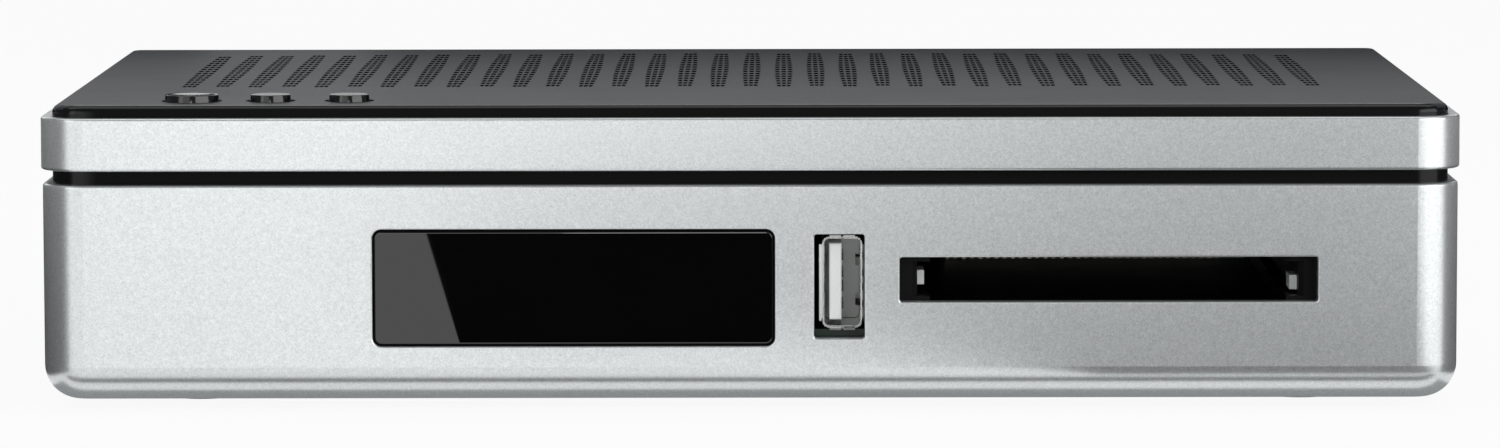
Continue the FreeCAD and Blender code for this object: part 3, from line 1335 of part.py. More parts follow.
def scart_socket():
    """The 21-way socket: an outer shroud, a channel for the plug and a slotted core."""
    rear = scart_rear()
    made = polygon_prism(scart_outline(0), (rear - SCART_DEPTH, rear))
    channel = polygon_prism(scart_outline(SCART_WALL), (rear - SCART_CHANNEL_DEPTH, rear + THROUGH))
    core_y = (rear - SCART_CHANNEL_DEPTH - THROUGH, rear - SCART_SHOWN)
    core = polygon_prism(scart_outline(SCART_WALL + SCART_CHANNEL), core_y)
    made = made.cut(channel.cut(core))
    y = (rear - SCART_BLADE_DEPTH, rear + THROUGH)
    return made.cut([block(x, y, z) for x, z in scart_slots(SCART_SLOT_WIDTH, SCART_SLOT_HEIGHT)])


def scart_contacts():
    rear = scart_rear()
    y = (rear - SCART_BLADE_DEPTH, rear - 1.4)
    return [block(x, y, z) for x, z in scart_slots(SCART_BLADE, SCART_SLOT_HEIGHT - 0.4)]


def hdmi_outline(inset):
    """The socket's outline: a rectangle whose lower corners are bevelled, moved in by inset."""
    half = HDMI_WIDTH / 2 - inset
    low = BOARD_Z + HDMI_RISE + inset
    high = BOARD_Z + HDMI_RISE + HDMI_HEIGHT - inset
    bevel = HDMI_BEVEL
    return [
        (HDMI_X - half + bevel, low),
        (HDMI_X + half - bevel, low),
        (HDMI_X + half, low + bevel),
        (HDMI_X + half, high),
        (HDMI_X - half, high),
        (HDMI_X - half, low + bevel),
    ]


def hdmi_shell():
    rear = PANEL_REAR + HDMI_SHOWN
    made = polygon_prism(hdmi_outline(0), (rear - HDMI_DEPTH, rear))
    hollow = polygon_prism(hdmi_outline(HDMI_SHEET), (rear - HDMI_DEPTH + HDMI_SHEET, rear + THROUGH))
    made = made.cut(hollow)
    legs = []
    for side in (-1, 1):
        x = HDMI_X + side * (HDMI_WIDTH / 2 - HDMI_BEVEL - HDMI_LEG_MARGIN)
        for y in (rear - HDMI_DEPTH + HDMI_LEG_FRONT, rear - HDMI_LEG_REAR):
            height = HDMI_RISE + HDMI_SHEET / 2
            legs.append(block_at(x, y, BOARD_Z, HDMI_LEG_WIDTH, HDMI_LEG_LENGTH, height))
    return joined([made] + legs)


def hdmi_tongue():
    rear = PANEL_REAR + HDMI_SHOWN
    inset = HDMI_SHEET + USB_FIT
    y = (rear - HDMI_DEPTH + HDMI_SHEET, rear - HDMI_DEPTH + HDMI_BASE)
    base = polygon_prism(hdmi_outline(inset), y)
    z = BOARD_Z + HDMI_RISE + HDMI_HEIGHT / 2
    half = HDMI_TONGUE_WIDTH / 2
    tongue_z = (z - HDMI_TONGUE / 2, z + HDMI_TONGUE / 2)
    tongue = block((HDMI_X - half, HDMI_X + half), (y[1] - HDMI_SHEET, rear - HDMI_TONGUE_SINK), tongue_z)
    return joined([base, tongue])


def rca_places():
    """X and Z of the four jacks: the upper pair first, then the lower pair."""
    low = BOARD_Z + RCA_RISE
    sides = (RCA_X + RCA_PITCH_X / 2, RCA_X - RCA_PITCH_X / 2)
    return [(x, z) for z in (low + RCA_PITCH_Z, low) for x in sides]


def rca_face():
    return PANEL_FRONT - 0.2


def rca_block():
    x = (RCA_X - RCA_PITCH_X / 2 - RCA_BLOCK_MARGIN, RCA_X + RCA_PITCH_X / 2 + RCA_BLOCK_MARGIN)
    z = (BOARD_Z, BOARD_Z + RCA_RISE + RCA_PITCH_Z + RCA_BLOCK_MARGIN)
    front = rca_face() - RCA_BLOCK_DEPTH
    made = block(x, (front, rca_face()), z)
    step = block(x, (front, front + RCA_STEP_DEPTH), (z[1] - RCA_STEP_HEIGHT, z[1]))
    return made.cut(step)


def rca_sleeves():
    """The plated outer rings; a step behind the panel gives each its shoulder."""
    end = PANEL_REAR + RCA_REACH
    made = []
    for x, z in rca_places():
        neck = lying(x, rca_face(), z, RCA_RADIUS - 0.2, PANEL_REAR + 0.5 - rca_face())
        ring = lying(x, PANEL_REAR + 0.3, z, RCA_RADIUS, end - PANEL_REAR - 0.3)
        ring = ring.makeChamfer(EASED_EDGE / 2, edges_where(ring, lambda p: near(p.y, end)))
        made.append(joined([neck, ring]).cut(lying(x, rca_face() - THROUGH, z, RCA_BORE, end)))
    return made


def rca_insulator(number):
    x, z = rca_places()[number]
    end = PANEL_REAR + RCA_REACH - RCA_SINK
    core = lying(x, rca_face(), z, RCA_BORE, end - rca_face())
    return core.cut(lying(x, rca_face() + 1.0, z, RCA_HOLE, end))


def serial_outline(grow):
    """The D-shaped outline of the serial port, grown by grow."""
    half = SERIAL_WIDTH / 2 + grow
    low = BOARD_Z + SERIAL_RISE - SERIAL_HEIGHT / 2 - grow
    high = BOARD_Z + SERIAL_RISE + SERIAL_HEIGHT / 2 + grow
    return [
        (SERIAL_X - half + SERIAL_SLANT, low),
        (SERIAL_X + half - SERIAL_SLANT, low),
        (SERIAL_X + half + SERIAL_SLANT / 2, high),
        (SERIAL_X - half - SERIAL_SLANT / 2, high),
    ]


def serial_screw_places():
    """X and Z of the two jack screws."""
    return [(SERIAL_X + side * SERIAL_SCREW_PITCH / 2, BOARD_Z + SERIAL_RISE) for side in (-1, 1)]


def serial_shell():
    """The plated shell with its flange behind the panel."""
    z = BOARD_Z + SERIAL_RISE
    front = PANEL_FRONT - 0.1 - SERIAL_FLANGE
    flange_x = (SERIAL_X - SERIAL_FLANGE_WIDTH / 2, SERIAL_X + SERIAL_FLANGE_WIDTH / 2)
    flange_z = (z - SERIAL_FLANGE_HEIGHT / 2, z + SERIAL_FLANGE_HEIGHT / 2)
    flange = front_prism(flange_x, flange_z, (front, front + SERIAL_FLANGE), 1.5)
    shell = polygon_prism(serial_outline(0), (front, PANEL_REAR + SERIAL_REACH))
    hollow = polygon_prism(serial_outline(-SERIAL_SHEET), (front - THROUGH, REAR + SOCKET_REACH))
    holes = []
    for x, hole_z in serial_screw_places():
        length = SERIAL_FLANGE + 2 * THROUGH
        holes.append(lying(x, front - THROUGH, hole_z, SERIAL_SHANK_RADIUS + CUTOUT_GAP, length))
    return joined([flange, shell]).cut([hollow] + holes)


def serial_body():
    """The insulator in the shell and the block behind it that stands on the board."""
    z = BOARD_Z + SERIAL_RISE
    front = PANEL_FRONT - 0.1 - SERIAL_FLANGE
    core_y = (front - SERIAL_SHEET, PANEL_REAR + SERIAL_REACH - SERIAL_SINK)
    core = polygon_prism(serial_outline(-SERIAL_SHEET - USB_FIT), core_y)
    body_x = (SERIAL_X - SERIAL_FLANGE_WIDTH / 2, SERIAL_X + SERIAL_FLANGE_WIDTH / 2)
    body = block(body_x, (front - SERIAL_BODY_DEPTH, front), (BOARD_Z, z + SERIAL_FLANGE_HEIGHT / 2))
    made = joined([core, body])
    holes = []
    for row, count in ((1, 5), (-1, 4)):
        for pin in range(count):
            x = SERIAL_X + (pin - (count - 1) / 2) * SERIAL_PIN_PITCH
            pin_z = z + row * SERIAL_ROW_PITCH / 2
            holes.append(lying(x, front, pin_z, SERIAL_PIN_HOLE, PANEL_REAR + SERIAL_REACH - front))
    start = PANEL_FRONT - SERIAL_SHANK - SCREW_TIP_ROOM
    for x, hole_z in serial_screw_places():
        holes.append(lying(x, start, hole_z, SERIAL_SHANK_RADIUS + SCREW_GAP, SERIAL_SHANK + THROUGH))
    return made.cut(holes)


def serial_screws():
    """The hexagonal jack screws outside the panel."""
    made = []
    for x, z in serial_screw_places():
        turns = [math.radians(60 * corner) for corner in range(6)]
        radius = SERIAL_SCREW_RADIUS
        points = [(x + radius * math.cos(turn), z + radius * math.sin(turn)) for turn in turns]
        head = polygon_prism(points, (PANEL_REAR, PANEL_REAR + SERIAL_SCREW_LENGTH))
        head = head.cut(lying(x, PANEL_REAR + THROUGH, z, SERIAL_SCREW_BORE, SERIAL_SCREW_LENGTH))
        length = SERIAL_SHANK + PANEL_THICKNESS + THROUGH / 2
        shank = lying(x, PANEL_FRONT - SERIAL_SHANK, z, SERIAL_SHANK_RADIUS, length)
        made.append(joined([head, shank]))
    return made


def dc_socket():
    z = BOARD_Z + DC_HEIGHT / 2
    rear = PANEL_REAR + DC_SHOWN
    x = (DC_X - DC_WIDTH / 2, DC_X + DC_WIDTH / 2)
    body = block(x, (rear - DC_DEPTH, rear), (BOARD_Z, BOARD_Z + DC_HEIGHT))
    return body.cut(lying(DC_X, rear - DC_BORE_DEPTH, z, DC_BORE, DC_BORE_DEPTH + THROUGH))


def dc_pin():
    z = BOARD_Z + DC_HEIGHT / 2
    rear = PANEL_REAR + DC_SHOWN
    pin = lying(DC_X, rear - DC_BORE_DEPTH, z, DC_PIN, DC_BORE_DEPTH - 0.5)
    return eased(pin, 0.4, lambda p: near(p.y, rear - 0.5))


# ---------------------------------------------------------------- nodes
def main():
    os.makedirs("parts", exist_ok=True)
    write("lower_housing", lower_housing())
    write("top_cover", top_cover())
    write("trim_band", trim_band())
    write("rear_panel", rear_panel())
    write("rubber_feet", rubber_feet())
    write("case_screws", case_screws())
    write("display_window", display_window())
    write("led_display", led_display())
    write("infrared_receiver", infrared_receiver())
    write("standby_lamp", standby_lamp())
    write("display_board", display_board())
    write("display_header", display_header())
    for number, name in enumerate(BUTTON_NAMES):
        write(name + "_button", button_cap(number))
        write(name + "_plunger", switch_plunger(number))
    write("button_switches", button_switches())
    write("button_board", button_board())
    write("button_board_screws", button_board_screws())
    write("button_ribbon", button_ribbon())
    write("ribbon_plugs", ribbon_plugs())
    write("usb_shell", usb_shell())
    write("usb_tongue", usb_tongue())
    write("usb_contacts", usb_contacts())
    write("card_guide", card_guide())
    write("card_pins", card_pins())
    write("card_key_ribs", card_key_ribs())
    write("main_board", main_board())
    write("main_board_screws", main_board_screws())
    write("decoder_chip", decoder_chip())
    write("heat_sink", heat_sink())
    write("memory_chips", memory_chips())
    write("capacitors", capacitors())
    write("power_coils", power_coils())
    write("tuner_can", tuner_can())
    write("lnb_in_socket", lnb_socket(1))
    write("lnb_out_socket", lnb_socket(0))
    write("lnb_insulators", lnb_insulators())
    write("scart_socket", scart_socket())
    write("scart_contacts", scart_contacts())
    write("hdmi_shell", hdmi_shell())
    write("hdmi_tongue", hdmi_tongue())
    write("rca_block", rca_block())
    write("rca_sleeves", rca_sleeves())
    for number, name in enumerate(RCA_NAMES):
        write(name + "_insulator", rca_insulator(number))
    write("serial_shell", serial_shell())
    write("serial_body", serial_body())
    write("serial_screws", serial_screws())
    write("dc_socket", dc_socket())
    write("dc_pin", dc_pin())


main()
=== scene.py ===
# %% [markdown]
# # A compact satellite receiver, dressed for the studio
# The imported model is the fixed frame: every node already sits at its real place, in metres, with X to
# the right, Y to the back and Z up. This lesson adds what the eye judges: the lid's real vent pattern,
# button caps with draft, threads on the aerial sockets, a finish for every part, and a photographer's
# light. It loads the frame first and keeps its box.

import json
import math

import bmesh
import bpy
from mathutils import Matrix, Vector
from mathutils.geometry import delaunay_2d_cdt


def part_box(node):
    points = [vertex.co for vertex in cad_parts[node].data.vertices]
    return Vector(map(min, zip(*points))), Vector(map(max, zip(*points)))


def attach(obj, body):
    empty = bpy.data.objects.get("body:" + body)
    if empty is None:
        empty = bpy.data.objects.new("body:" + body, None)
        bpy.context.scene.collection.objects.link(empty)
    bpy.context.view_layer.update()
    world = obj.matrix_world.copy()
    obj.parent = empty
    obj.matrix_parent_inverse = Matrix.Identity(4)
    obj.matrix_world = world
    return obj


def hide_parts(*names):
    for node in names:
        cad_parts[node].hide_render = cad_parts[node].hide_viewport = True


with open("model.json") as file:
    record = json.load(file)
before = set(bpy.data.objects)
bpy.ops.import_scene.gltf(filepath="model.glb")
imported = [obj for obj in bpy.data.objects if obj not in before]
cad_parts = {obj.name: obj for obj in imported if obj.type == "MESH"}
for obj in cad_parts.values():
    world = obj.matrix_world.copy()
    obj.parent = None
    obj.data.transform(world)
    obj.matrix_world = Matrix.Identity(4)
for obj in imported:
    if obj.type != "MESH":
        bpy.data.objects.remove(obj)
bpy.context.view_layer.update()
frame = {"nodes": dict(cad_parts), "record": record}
nodes = frame["nodes"]
MM = 0.001

# %% [markdown]
# ## The faces that everything else is measured from
# A number that the frame already knows isn't typed again. The housing gives the front and the rear, the
# lid gives the top and its own edges, and the rear panel gives the plane that the sockets come through.
# The vent field has no node of its own, so its place and size are typed here once.

# %% Faces of the housing
housing_low, housing_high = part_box("lower_housing")
lid_low, lid_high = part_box("top_cover")
_, panel_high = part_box("rear_panel")
FRONT = housing_low.y
REAR = housing_high.y
LID_FRONT = lid_low.y
LID_HALF = lid_high.x
LID_TOP = lid_high.z
PANEL_BACK = panel_high.y
FIELD_CENTRE = FRONT + 72.0 * MM
FIELD_HALF_WIDTH = 88.0 * MM
FIELD_HALF_DEPTH = 38.0 * MM
print("front", round(FRONT, 5), "rear", round(REAR, 5), "lid top", round(LID_TOP, 5))

# %% [markdown]
# ## The camera
# A long lens far away keeps the front face square while it still shows the lid. The camera stands a
# hair right of the middle, a little above the lid, turns back to the box and looks down by a few degrees.
# The tiny roll is there because no tripod is perfectly level: the box's right end stands a hair higher.

# %% Camera
CAMERA_DISTANCE = 930 * MM
CAMERA_HEIGHT = 115.7 * MM
CAMERA_PITCH = math.radians(5.447)
CAMERA_ROLL = math.radians(0.115)
CAMERA_ASIDE = 4.3 * MM
CAMERA_AIM = 0.2 * MM
CAMERA_LENS = 157.2
SENSOR_WIDTH = 36.0
CAMERA_REACH = 50.0

camera_data = bpy.data.cameras.new("camera")
camera_data.lens = CAMERA_LENS
camera_data.sensor_width = SENSOR_WIDTH
camera_data.clip_end = CAMERA_REACH
camera = bpy.data.objects.new("camera", camera_data)
camera.location = (CAMERA_ASIDE, FRONT - CAMERA_DISTANCE, CAMERA_HEIGHT)
camera_turn = math.atan2(CAMERA_ASIDE - CAMERA_AIM, CAMERA_DISTANCE)
camera.rotation_euler = (math.pi / 2 - CAMERA_PITCH, CAMERA_ROLL, camera_turn)
bpy.context.scene.collection.objects.link(camera)
bpy.context.scene.camera = camera
bpy.context.scene.view_settings.view_transform = "Standard"
print("camera at", [round(v, 4) for v in camera.location])

# %% [markdown]
# ## Shader maths as Python
# A material is a graph of nodes, and a graph is hard to read as a list of links. `Value` wraps one
# output socket and overloads the arithmetic operators, so `1 - mask * 0.2` adds the Math nodes by
# itself. `abs`, `at_least` and `ramp` add the other nodes that most finishes need.

# %% Value
class Value:
    """One output socket of a shader graph, for use in Python expressions."""

    def __init__(self, recipe, socket):
        self.recipe = recipe
        self.socket = socket

    def maths(self, operation, *others):
        return self.recipe.node("ShaderNodeMath", {"operation": operation}, dict(enumerate((self,) + others)))

    def __add__(self, other):
        return self.maths("ADD", other)

    def __mul__(self, other):
        return self.maths("MULTIPLY", other)

    def __sub__(self, other):
        return self.maths("SUBTRACT", other)

    def __rsub__(self, other):
        return self.recipe.node("ShaderNodeMath", {"operation": "SUBTRACT"}, {0: other, 1: self})

    def __abs__(self):
        return self.maths("ABSOLUTE")

    __radd__ = __add__
    __rmul__ = __mul__

    def at_least(self, other):
        return self.maths("MAXIMUM", other)

    def ramp(self, low, high):
        """0 at low and 1 at high, smooth between them."""
        settings = {"interpolation_type": "SMOOTHSTEP"}
        inputs = {"Value": self, "From Min": low, "From Max": high}
        return self.recipe.node("ShaderNodeMapRange", settings, inputs)


print("operators ready")

# %% [markdown]
# ## One material, node by node
# `Recipe` starts a material and adds every kind of node through one method: its type, its settings,
# which are set first because they decide which sockets exist, and then its inputs. Short methods stand
# for what most finishes use. All patterns hang on the point in the frame, so they need no unwrapping.

# %% Recipe
class Recipe:
    """A material or a world, built node by node."""

    def __init__(self, name, owner=None):
        self.owner = owner or bpy.data.materials.new(name)
        self.owner.use_nodes = True
        self.tree = self.owner.node_tree
        self.tree.nodes.clear()

    def node(self, kind, settings=None, inputs=None, output=0):
        made = self.tree.nodes.new(kind)
        for key, value in (settings or {}).items():
            setattr(made, key, value)
        for key, value in (inputs or {}).items():
            socket = made.inputs[key]
            if isinstance(value, Value):
                self.tree.links.new(value.socket, socket)
            else:
                socket.default_value = value
        return Value(self, made.outputs[output])

    def place(self, stretch=(1, 1, 1)):
        """The point in the frame, in metres, optionally stretched along the axes."""
        here = self.node("ShaderNodeTexCoord", output="Object")
        if tuple(stretch) == (1, 1, 1):
            return here
        return self.node("ShaderNodeVectorMath", {"operation": "MULTIPLY"}, {0: here, 1: stretch})

    def axes(self):
        apart = self.node("ShaderNodeSeparateXYZ", inputs={0: self.place()}).socket.node
        return [Value(self, socket) for socket in apart.outputs]

    def noise(self, scale, detail=2.0, stretch=(1, 1, 1)):
        inputs = {"Vector": self.place(stretch), "Scale": scale, "Detail": detail}
        return self.node("ShaderNodeTexNoise", inputs=inputs)

    def cells(self, scale, distance="EUCLIDEAN", randomness=1.0):
        """The distance to the middle of the nearest cell of a Voronoi pattern."""
        inputs = {"Vector": self.place(), "Scale": scale, "Randomness": randomness}
        return self.node("ShaderNodeTexVoronoi", {"distance": distance}, inputs, output="Distance")

    def blend(self, factor, first, second):
        """Mixes two colours."""
        colours = {0: factor, 6: first, 7: second}
        return self.node("ShaderNodeMix", {"data_type": "RGBA"}, colours, output=2)

    def bump(self, height, depth, strength=1.0):
        """A normal from a height field; depth is in metres."""
        return self.node("ShaderNodeBump", inputs={"Height": height, "Distance": depth, "Strength": strength})

    def principled(self, **inputs):
        """A Principled shader; an input's name is written with underscores for its spaces."""
        named = {key.replace("_", " "): value for key, value in inputs.items()}
        return self.node("ShaderNodeBsdfPrincipled", inputs=named)

    def surface(self, **inputs):
        return self.finish(self.principled(**inputs))

    def two_surfaces(self, mask, first, second):
        """The first shader where the mask is 0 and the second where it is 1."""
        return self.finish(self.node("ShaderNodeMixShader", inputs={0: mask, 1: first, 2: second}))

    def finish(self, shader):
        is_world = isinstance(self.owner, bpy.types.World)
        output = self.tree.nodes.new("ShaderNodeOutputWorld" if is_world else "ShaderNodeOutputMaterial")
        self.tree.links.new(shader.socket, output.inputs["Surface"])
        return self.owner


print("recipe ready")

# %% [markdown]
# ## Finishes by name
# Each finish is a function with the name of its material slot. `make_finishes` runs such functions and
# keeps what they return under that name, so a later cell can hand a finish to any piece that asks for it.

# %% Finishes by name
finishes = {}


def rgb(red, green, blue):
    return (red, green, blue, 1.0)


def make_finishes(*recipes):
    for recipe in recipes:
        finishes[recipe.__name__] = recipe()
    print("finishes:", ", ".join(recipe.__name__ for recipe in recipes))


print("finishes so far", len(finishes))

# %% [markdown]
# ## Silver lacquer
# The tub and the band are moulded in plastic and sprayed with an aluminium lacquer. Its flakes lie at
# slightly different angles, and where a few of them crowd together the lacquer is a little lighter, which
# gives a fine grain. Two noises, one at the scale of the flakes and one of their crowding, set the colour
# and the gloss over a base that is mostly metallic; what isn't metallic is the lacquer between the flakes.

# %% Silver lacquer
FLAKE_SCALE = 5200.0
CROWD_SCALE = 1800.0


def silver_paint():
    recipe = Recipe("silver_paint")
    flake = recipe.noise(FLAKE_SCALE, 1.0)
    cloud = recipe.noise(CROWD_SCALE, 2.0)
    grain = flake * 0.7 + cloud * 0.3
    colour = recipe.blend(grain, rgb(0.42, 0.443, 0.446), rgb(0.97, 1.0, 1.0))
    return recipe.surface(
        Base_Color=colour, Metallic=0.8, Roughness=grain * 0.06 + 0.26,
        Normal=recipe.bump(cloud, 0.001 * MM, 0.5),
    )


make_finishes(silver_paint)

# %% [markdown]
# ## Spark-eroded black
# The lid comes out of a mould whose face was eroded to a fine matt texture, so that fingerprints don't
# show. Its rounded rim was left smooth. One mask, worked out from the distance to the lid's edge, switches
# between the two, because on the real lid they are one piece of the same plastic. A second shader, near
# black and almost without gloss, is painted shade where light doesn't reach: the walls of the vents and
# the foot of the rim, which stands in a narrow gap except at the rounded corners.

# %% Lid plastic
RIM_WIDTH = 1.25 * MM  # the smooth rim in front and behind
SIDE_RIM_WIDTH = 0.5 * MM
RIM_DEPTH = 0.6 * MM  # below this the whole edge is smooth
RIM_SHINE = 0.45 * MM  # how far down the rim light reaches
RIM_FADE = 0.1 * MM
CORNER_SHINE = 7.0 * MM  # how far from each side it reaches all the way down
SLOT_LIP = 0.03 * MM
MASK_BLUR = 0.04 * MM


def black_texture():
    recipe = Recipe("black_texture")
    x, y, z = recipe.axes()
    from_side = abs(x) - (LID_HALF - SIDE_RIM_WIDTH)
    from_front = (LID_FRONT + RIM_WIDTH) - y
    from_rear = y - (REAR - RIM_WIDTH)
    below = (LID_TOP - RIM_DEPTH) - z
    beyond = from_side.at_least(from_front).at_least(from_rear).at_least(below)
    matt = 1 - beyond.ramp(-MASK_BLUR, MASK_BLUR)
    pits = recipe.noise(2600.0, 3.0)
    cloud = recipe.noise(55.0, 2.0)
    eroded = recipe.blend(pits, rgb(0.0125, 0.0142, 0.0175), rgb(0.031, 0.0345, 0.041))
    lid_skin = recipe.principled(
        Base_Color=recipe.blend(matt, rgb(0.003, 0.003, 0.0035), eroded),
        Roughness=matt * (pits * 0.12 + cloud * 0.06 + 0.22) + 0.19,
        Specular_IOR_Level=0.28,
        Normal=recipe.bump(pits * matt, 0.03 * MM, 0.8),
    )
    # Painted shade: near black and almost without gloss, for the vent walls and the foot of the rim.
    painted_shade = recipe.principled(
        Base_Color=rgb(0.003, 0.003, 0.003), Roughness=pits * 0.2 + 0.5, Specular_IOR_Level=0.08,
    )
    sunk = ((LID_TOP - SLOT_LIP) - z).ramp(0.0, MASK_BLUR)
    from_field = (abs(x) - FIELD_HALF_WIDTH).at_least(abs(y - FIELD_CENTRE) - FIELD_HALF_DEPTH)
    in_slot = sunk * (1 - from_field.ramp(0.0, MASK_BLUR))
    at_corner = abs(x).ramp(LID_HALF - CORNER_SHINE, LID_HALF - 0.6 * CORNER_SHINE)
    in_gap = ((LID_TOP - RIM_SHINE) - z).ramp(0.0, RIM_FADE) * (1 - at_corner)
    return recipe.two_surfaces(in_slot.at_least(in_gap), lid_skin, painted_shade)


make_finishes(black_texture)

# %% [markdown]
# ## Moulded plastics
# Plastics differ in how their mould was finished. Each gets a little unevenness at the scale of its own
# process: long soft waves in a polished part, fine grain in a matt one. One function makes them all, so
# that they differ only in the numbers that matter.

# %% Moulded plastics
def moulded(name, dark, light, roughness, grain=900.0, depth=0.006 * MM, specular=0.5, spread=0.1):
    """Plastic from a mould: a little mottled in colour, with a fine grain."""
    recipe = Recipe(name)
    mottle = recipe.noise(120.0, 3.0)
    fine = recipe.noise(grain, 3.0)
    return recipe.surface(
        Base_Color=recipe.blend(mottle, rgb(*dark), rgb(*light)),
        Roughness=mottle * spread + (roughness - spread / 2),
        Specular_IOR_Level=specular,
        Normal=recipe.bump(fine, depth),
    )


def gloss_black():
    return moulded(
        "gloss_black", (0.003, 0.003, 0.0035), (0.005, 0.005, 0.0055),
        roughness=0.13, grain=350.0, depth=0.0005 * MM, specular=0.6, spread=0.04,
    )


def white_plastic():
    return moulded(
        "white_plastic", (0.86, 0.88, 0.865), (0.94, 0.955, 0.945),
        roughness=0.32, grain=700.0, depth=0.003 * MM,
    )


def foot_rubber():
    return moulded(
        "foot_rubber", (0.012, 0.012, 0.012), (0.030, 0.029, 0.028),
        roughness=0.78, grain=1500.0, depth=0.04 * MM, specular=0.3,
    )


def chip_resin():
    return moulded(
        "chip_resin", (0.012, 0.012, 0.013), (0.030, 0.030, 0.031),
        roughness=0.55, grain=2200.0, depth=0.02 * MM,
    )


def red_plastic():
    return moulded("red_plastic", (0.50, 0.010, 0.008), (0.62, 0.020, 0.014), roughness=0.30)


def yellow_plastic():
    return moulded("yellow_plastic", (0.80, 0.52, 0.01), (0.90, 0.64, 0.03), roughness=0.30)


def orange_plastic():
    return moulded("orange_plastic", (0.80, 0.19, 0.01), (0.90, 0.27, 0.03), roughness=0.30)


make_finishes(gloss_black, white_plastic, foot_rubber, chip_resin)
make_finishes(red_plastic, yellow_plastic, orange_plastic)

# %% [markdown]
# ## Smoked window and card guide
# Both have a polished face and a dull rest. The window's pane mirrors the room, while its cut edge is
# matt and is painted near black as shade, since it sits in the narrow gap of the opening. The guide's
# floor is polished by the mould, so it mirrors the pins above it. A mask on the place in the frame tells
# the faces apart, which needs no second material and no seam.

# %% Window and card guide
PANE_EDGE = (0.01 * MM, 0.03 * MM)
GUIDE_FLOOR = (1.65 * MM, 1.8 * MM)
GUIDE_FLOOR_END = (14.5 * MM, 14.8 * MM)


def smoked_window():
    recipe = Recipe("smoked_window")
    _, y, _ = recipe.axes()
    low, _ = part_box("display_window")
    edge = (y - low.y).ramp(*PANE_EDGE)
    mottle = recipe.noise(90.0, 2.0)
    pane = recipe.principled(
        Base_Color=recipe.blend(mottle, rgb(0.0012, 0.0012, 0.0013), rgb(0.0018, 0.0018, 0.002)),
        Roughness=mottle * 0.01 + 0.01,
        Specular_IOR_Level=0.95,
    )
    # Painted shade: the pane's edge and sides, near black and almost without gloss.
    border = recipe.principled(
        Base_Color=rgb(0.002, 0.002, 0.002), Roughness=mottle * 0.1 + 0.4, Specular_IOR_Level=0.08,
    )
    return recipe.two_surfaces(edge, pane, border)


def black_plastic():
    recipe = Recipe("black_plastic")
    _, y, z = recipe.axes()
    guide_low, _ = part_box("card_guide")
    polished = (1 - (z - guide_low.z).ramp(*GUIDE_FLOOR)) * (1 - y.ramp(*GUIDE_FLOOR_END))
    mottle = recipe.noise(120.0, 3.0)
    return recipe.surface(
        Base_Color=recipe.blend(mottle, rgb(0.003, 0.003, 0.0033), rgb(0.007, 0.007, 0.0075)),
        Roughness=(mottle * 0.1 + 0.4) * (1 - polished) + polished * 0.03,
        Specular_IOR_Level=0.08,
        Coat_Weight=polished, Coat_Roughness=0.02,
        Normal=recipe.bump(recipe.noise(700.0, 3.0) * (1 - polished), 0.003 * MM),
    )


make_finishes(smoked_window, black_plastic)

# %% [markdown]
# ## Ribbon and lens
# The ribbon's wires show through its film as stripes, one for each millimetre. A ping-pong of the X
# coordinate gives the distance to the nearest wire. The standby lamp's lens is tinted and lets light through.

# %% Ribbon and lens
HALF_WIRE_PITCH = 0.5 * MM
WIRE_EDGE = (0.18 * MM, 0.26 * MM)


def ribbon_film():
    recipe = Recipe("ribbon_film")
    x, _, _ = recipe.axes()
    line = x.maths("PINGPONG", HALF_WIRE_PITCH).ramp(*WIRE_EDGE)
    colour = recipe.blend(line, rgb(0.78, 0.79, 0.78), rgb(0.50, 0.44, 0.36))
    return recipe.surface(Base_Color=colour, Roughness=0.3, Normal=recipe.bump(line, 0.04 * MM))


def red_lens():
    recipe = Recipe("red_lens")
    mottle = recipe.noise(500.0)
    colour = recipe.blend(mottle, rgb(0.30, 0.004, 0.003), rgb(0.45, 0.010, 0.006))
    return recipe.surface(Base_Color=colour, Roughness=0.08, Transmission_Weight=0.5)


make_finishes(ribbon_film, red_lens)

# %% [markdown]
# ## Bare and plated metals
# Folded sheet keeps the fine lines of its rolling, and plated parts are cloudy. Each is a metallic
# surface whose roughness changes over it, because that is what makes metal look like metal rather than
# grey plastic. A stretch below 1 along an axis draws the grain out along it.

# %% Bare and plated metals
def metal(name, dark, light, roughness, spread, scale, stretch=(1, 1, 1)):
    """Bare or plated metal with a grain that can be drawn out along an axis."""
    recipe = Recipe(name)
    grain = recipe.noise(scale, 4.0, stretch)
    cloud = recipe.noise(90.0, 2.0)
    return recipe.surface(
        Base_Color=recipe.blend(cloud, rgb(*dark), rgb(*light)),
        Metallic=1.0,
        Roughness=grain * spread + (roughness - spread / 2),
        Normal=recipe.bump(grain, 0.003 * MM),
    )


def nickel():
    return metal("nickel", (0.74, 0.74, 0.73), (0.85, 0.85, 0.845), roughness=0.2, spread=0.1, scale=700.0)


def tin_plate():
    return metal(
        "tin_plate", (0.52, 0.53, 0.53), (0.68, 0.69, 0.69),
        roughness=0.34, spread=0.2, scale=300.0, stretch=(1, 0.1, 1),
    )


def zinc_steel():
    return metal("zinc_steel", (0.52, 0.53, 0.53), (0.68, 0.68, 0.66), roughness=0.3, spread=0.2, scale=900.0)


def sink_aluminium():
    return metal(
        "sink_aluminium", (0.30, 0.31, 0.32), (0.44, 0.45, 0.46),
        roughness=0.42, spread=0.15, scale=400.0, stretch=(1, 0.05, 1),
    )


make_finishes(nickel, tin_plate, zinc_steel, sink_aluminium)

# %% [markdown]
# ## Metals that are covered, and contacts in painted shade
# The contacts of the upright socket stand deep in its shell, so they are painted dark as shade, and the
# others are bright gold. A capacitor's can stands in a dark sleeve that leaves its top bare. The rear panel
# is steel under a satin powder coat.

# %% Covered metals and painted shade
SHADE_END = (1.0 * MM, 1.2 * MM)
REAR_HALF = (0.0, 0.2 * MM)
SLEEVE_FOLD = (0.45 * MM, 0.35 * MM)


